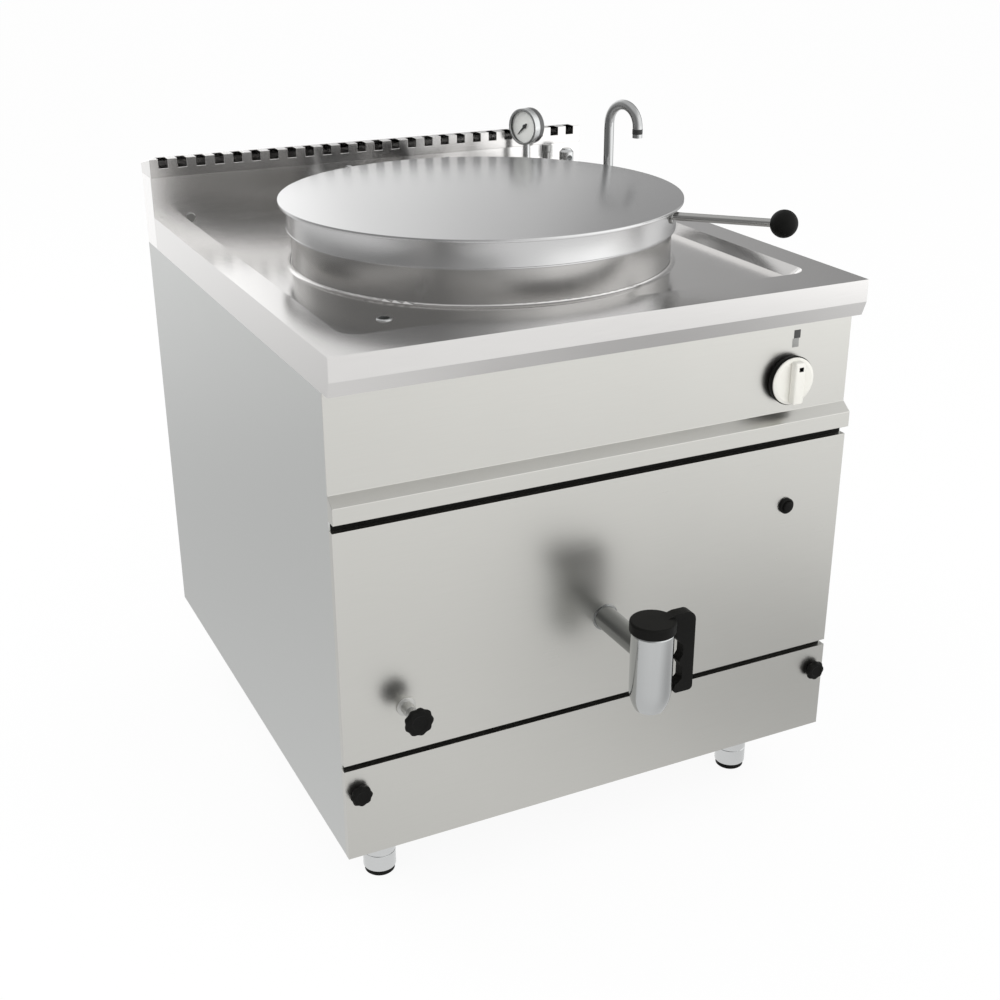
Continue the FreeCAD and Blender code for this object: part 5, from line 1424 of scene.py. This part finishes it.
@dataclass
class SafetyGroup(Assembly):
    """Manifold with gauge, air valve and safety valve."""

    centre: Point3 = (0.271, 0.421, 0.957)
    turn: float = 202.0
    radius: float = 31.5 * MM
    depth: float = 26 * MM
    bezel_depth: float = 14 * MM
    ticks: int = 31
    ticks_apart: int = 5
    numerals: int = 4
    scale_from: float = -135.0
    scale_span: float = 270.0
    scale_radius: float = 25 * MM
    dial_half: float = 0.5 * MM
    print_thick: float = 0.25 * MM

    def build(self) -> None:
        """Makes the gauge and dresses the manifold and valves."""
        self.coat(SATIN_PLATING, "safety_manifold")
        self.gauge()
        self.valves()

    def gauge(self) -> None:
        """Makes the gauge's case, bezel and scale, and dresses its dial, pointer and glass."""
        angle = math.radians(self.turn)
        facing = (math.cos(angle), math.sin(angle), 0.0)
        seat = Seat(self.centre, facing)
        half = self.depth / 2
        edge = self.radius
        wall = 2 * MM
        inner = edge - wall
        lip = inner - 1.5 * MM
        case = turned(
            "gauge_cup",
            [
                (0, -half), (edge, -half, wall), (edge, half - 6 * MM), (edge - 0.5 * MM, half - 5.6 * MM),
                (edge, half - 5 * MM), (edge, half, 1 * MM), (lip, half, 0.6 * MM), (lip, half - wall),
                (inner, half - wall), (inner, wall - half), (0, wall - half),
            ],
            seat,
        )
        self.keep(case, DARK_ENAMEL, "kettle", "gauge_case")
        back = half - self.bezel_depth
        over = 0.05 * MM
        face = half + over
        ring = edge - 0.6 * MM
        rim = inner - 1.6 * MM
        bezel = turned(
            "gauge_bezel",
            [
                (ring, back), (edge + over, back, 0.2 * MM), (edge + over, face, 1.2 * MM),
                (rim, face, 0.8 * MM), (rim, half - 1 * MM), (edge - 1.6 * MM, half - 1 * MM),
                (ring, half - wall), (ring, back),
            ],
            seat,
        )
        self.keep(bezel, SATIN_PLATING, "kettle", slot="bright_fittings")
        self.scale(seat)
        self.coat(DIAL_WHITE, "gauge_dial")
        self.coat(DIAL_BLACK, "gauge_pointer")
        dress(self.frame["nodes"]["gauge_glass"], glass_material())

    def scale(self, seat: Seat) -> None:
        """Prints the scale on the dial: ticks and numerals over three quarters of a turn.

        Args:
            seat: The gauge's seat.
        """
        dial_low, dial_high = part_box("gauge_dial")
        dial = (dial_low + dial_high) / 2
        reach = (dial - Vector(self.centre)).dot(Vector(seat.facing))
        face = reach + self.dial_half + self.print_thick / 2
        marks = [self.tick(seat, face, number) for number in range(self.ticks)]
        marks += [self.numeral(seat, face, number) for number in range(self.numerals)]
        self.keep(joined("gauge_scale", marks), DIAL_BLACK, "kettle", slot="black_plastic")

    def upright(self) -> float:
        """The turn in radians about the gauge's axis at which the dial's up is up."""
        return math.radians(self.turn - 180.0)

    def lean(self, share: float) -> float:
        """The turn in radians about the gauge's axis of a mark at a share of the scale."""
        return self.upright() - math.radians(self.scale_from + self.scale_span * share)

    def tick(self, seat: Seat, face: float, number: int) -> bpy.types.Object:
        """Makes one tick of the scale.

        Args:
            seat: The gauge's seat.
            face: Height of the print's middle along the gauge's axis.
            number: Which tick.

        Returns:
            The tick.
        """
        long = number % self.ticks_apart == 0
        size = 4.2 * MM if long else 2.4 * MM
        width = 0.9 * MM if long else 0.5 * MM
        clear_selection()
        bpy.ops.mesh.primitive_cube_add(size=1.0)
        tick = start_piece(f"tick_{number}")
        bpy.ops.transform.resize(value=(size, width, self.print_thick), center_override=(0, 0, 0))
        bpy.ops.transform.translate(value=(self.scale_radius - size / 2, 0, face))
        return settle(tick, Seat(self.centre, seat.facing, self.lean(number / (self.ticks - 1))))

    def numeral(self, seat: Seat, face: float, number: int) -> bpy.types.Object:
        """Makes one numeral of the scale.

        Args:
            seat: The gauge's seat.
            face: Height of the print's middle along the gauge's axis.
            number: The number.

        Returns:
            The numeral as a mesh.
        """
        clear_selection()
        bpy.ops.object.text_add()
        text = bpy.context.object
        text.data.body = str(number)
        text.data.size = 7 * MM
        text.data.align_x = "CENTER"
        text.data.align_y = "CENTER"
        text.data.extrude = self.print_thick / 2
        bpy.ops.object.convert(target="MESH")
        lean = self.lean(number / (self.numerals - 1))
        spot = Vector((math.cos(lean), math.sin(lean), 0.0)) * (self.scale_radius - 8 * MM)
        roll = Matrix.Rotation(self.upright() - math.pi / 2, 4, "Z")
        text.matrix_world = seat.matrix() @ Matrix.Translation((spot.x, spot.y, face)) @ roll
        take(text)
        bpy.ops.object.transform_apply(location=True, rotation=True, scale=True)
        return text

    def valves(self) -> None:
        """Dresses the air valve and the safety valve."""
        self.coat(DULL_FITTING, "air_valve")
        self.coat(SATIN_PLATING, "safety_valve")


@dataclass
class GasControls(Assembly):
    """Selector, igniter, gas valve, pipes and burner."""

    selector_at: Point3 = (0.294, -0.355, 0.712)
    igniter_at: Point3 = (0.302, -0.361, 0.517)
    marks_front: float = -0.351
    mark_half: float = 5.5 * MM

    def build(self) -> None:
        """Makes the selector and igniter and dresses the gas line."""
        self.selector()
        self.igniter()
        self.marks()
        self.coat(VALVE_ALUMINIUM, "gas_valve")
        self.coat(TUBE_STEEL, "gas_pipe", "burner_pipe")
        self.coat(CAST_IRON, "burner")

    def selector(self) -> None:
        """Makes the ring, disc, grip and index mark."""
        seat = Seat(self.selector_at, FRONT)
        ring = turned(
            "selector_ring",
            in_mm((0, -31.6), (4, -31.6), (4, 0), (35.2, 0, 0.6), (36, 8.9, 1.2), (33, 8.9), (0, 8.9)),
            seat, 72,
        )
        self.keep(ring, BLACK_PLASTIC, "selector_push", "selector_stem")
        disc = turned(
            "selector_face",
            in_mm((0, 9), (34.5, 9), (34.5, 11, 0.8), (30, 13, 2), (0, 13)),
            seat, 72,
        )
        self.keep(disc, PALE_PLASTIC, "selector_dial", "selector_knob")
        x, y, z = self.selector_at
        wide = 8.4 * MM
        tall = 31 * MM
        face = y - 26 * MM
        grip = block(
            "selector_grip", (x - wide, face, z - tall), (x + wide, y - 12 * MM, z + tall), 3.2 * MM, 4
        )
        self.keep(grip, PALE_PLASTIC, "selector_dial", slot="pale_plastic")
        line = block(
            "selector_index", (x - 3 * MM, face, z + 18 * MM),
            (x + 4.5 * MM, face + 0.4 * MM, z + 24.5 * MM), 0.1 * MM,
        )
        self.keep(line, DARK_MARK, "selector_dial", slot="black_plastic")

    def igniter(self) -> None:
        """Makes the igniter's bezel and button."""
        seat = Seat(self.igniter_at, FRONT)
        bezel = turned(
            "igniter_bezel",
            in_mm(
                (0, -38), (9.9, -38), (9.9, 0), (12, 0), (12, 4, 1), (10, 5, 0.8), (8, 5, 0.5), (8, -10),
                (0, -10),
            ),
            seat, 48,
        )
        self.keep(bezel, BLACK_PLASTIC, "kettle", "igniter")
        button = turned("igniter_cap", in_mm((0, -1), (7.9, -1), (7.9, 9, 1.6), (0, 9.9)), seat, 48)
        self.keep(button, BLACK_PLASTIC, "igniter_button", "igniter_button")

    def marks(self) -> None:
        """Adds the two small plain marks printed above the selector."""
        front = self.marks_front - 0.2 * MM
        back = self.marks_front + 0.4 * MM
        half = self.mark_half
        for name, x, low, high, finish in (
            ("panel_mark_upper", 0.3055, 0.770, 0.782, DARK_MARK),
            ("panel_mark_lower", 0.3035, 0.757, 0.770, GREY_MARK),
        ):
            mark = block(name, (x - half, front, low), (x + half, back, high), 0.05 * MM)
            self.keep(mark, finish, "kettle", slot="black_plastic")


@dataclass
class KickKnobs(Assembly):
    """The two hand knobs of the kick panel."""

    apart: float = 0.760
    front: float = -0.362
    height: float = 0.222
    flutes: int = 8
    flute_depth: float = 1.4 * MM

    def build(self) -> None:
        """Makes both knobs."""
        for side, share in (("left", -0.5), ("right", 0.5)):
            seat = Seat((share * self.apart, self.front, self.height), FRONT)
            head = fluted(
                "kick_grip_" + side,
                in_mm(
                    (0, 0), (11, 0), (15.6, 5, 1.5), (15.9, 9, 1.5), (13.5, 12, 2), (9, 12.2, 1),
                    (7.5, 11.4, 1), (0, 11.2),
                ),
                self.flutes, self.flute_depth, seat,
            )
            screw = turned("kick_screw_" + side, in_mm((0, -32), (4, -32, 1), (4, 1), (0, 1)), seat, 24)
            self.keep(head, BLACK_PLASTIC, "kick_knob_" + side, "kick_knob_" + side)
            self.keep(screw, BRIGHT_PLATING, "kick_knob_" + side, slot="bright_fittings")


@dataclass
class DrawOffTap(Assembly):
    """Drain pipe, tap body, plug and hooked handle."""

    axis: Point3 = (0.0, -0.486, 0.0)
    pipe_from: Point3 = (0.0, -0.2426, 0.403)

    def build(self) -> None:
        """Makes the tap."""
        self.body()
        self.handle()

    def body(self) -> None:
        """Makes the pipe and the body."""
        pipe = turned(
            "drain_tube",
            in_mm(
                (14, 0), (17, 0), (17, 118), (20, 118.4), (20, 119.4, 0.5), (17.4, 119.8, 0.3), (17, 121),
                (17, 220.4), (14, 220.4), (14, 0),
            ),
            Seat(self.pipe_from, FRONT),
        )
        self.keep(pipe, PIPE_STEEL, "kettle", "drain_pipe")
        casting = turned(
            "tap_casting",
            in_mm(
                (14, 323), (20.6, 323, 0.6), (22.6, 327), (24.5, 331), (26.2, 335.5), (27.6, 340.3),
                (28.6, 345.2), (29.2, 350), (29.5, 359), (29.5, 439.5, 0.8), (28.5, 442), (22, 442),
                (22, 375), (14, 375), (14, 323),
            ),
            Seat(self.axis), 72,
        )
        self.keep(casting, TAP_CHROME, "kettle", "tap_body")
        self.coat(SATIN_PLATING, "tap_plug")

    def handle(self) -> None:
        """Dresses the handle."""
        refined("tap_handle", BLACK_PLASTIC, 1.2 * MM, 3, 40)


@dataclass
class LevelCock(Assembly):
    """Level cock with its fluted knob."""

    at: Point3 = (-0.308, -0.361, 0.340)
    knob_out: float = 34 * MM
    flutes: int = 9
    flute_depth: float = 1.8 * MM

    def build(self) -> None:
        """Makes the neck and knob and dresses the spindle and pipe."""
        neck = turned(
            "cock_neck",
            in_mm(
                (5.05, -16), (5.05, 18), (8.4, 18, 0.6), (9, 14, 0.6), (9, 4), (14, 3, 0.6), (14, 0), (9, 0),
                (9, -1.2), (14, -1.2), (14, -41.2), (0, -41.2), (0, -16),
            ),
            Seat(self.at, FRONT), 48,
        )
        self.keep(neck, MATT_FITTING, "kettle", "level_cock")
        x, y, z = self.at
        knob = fluted(
            "cock_grip",
            in_mm(
                (0, 0), (12, 0, 1), (20.2, 8, 2), (21.2, 12, 1.5), (19, 15.8, 2.5), (12, 16, 1.5),
                (9.5, 14.8, 1.5), (0, 14.5),
            ),
            self.flutes, self.flute_depth, Seat((x, y - self.knob_out, z), FRONT),
        )
        self.keep(knob, BLACK_PLASTIC, "level_knob", "level_knob")
        self.coat(MATT_FITTING, "level_spindle")
        self.coat(TUBE_STEEL, "level_pipe")


def plain(corner: Vector) -> list[float]:
    """A corner as a plain list of numbers."""
    return [float(value) for value in corner]


def main() -> None:
    """Builds every sub-assembly in order and sets up the studio."""
    logging.basicConfig(level=logging.INFO, format="%(message)s")
    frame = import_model()
    bpy.context.scene.view_settings.view_transform = "Standard"
    for assembly in (
        Cabinet(frame), Undercarriage(frame), Pan(frame), Lid(frame), FillingSpout(frame), SafetyGroup(frame),
        GasControls(frame), KickKnobs(frame), DrawOffTap(frame), LevelCock(frame),
    ):
        log.info("building %s", type(assembly).__name__)
        assembly.build()
    Studio().build()


if __name__ == "__main__":
    main()
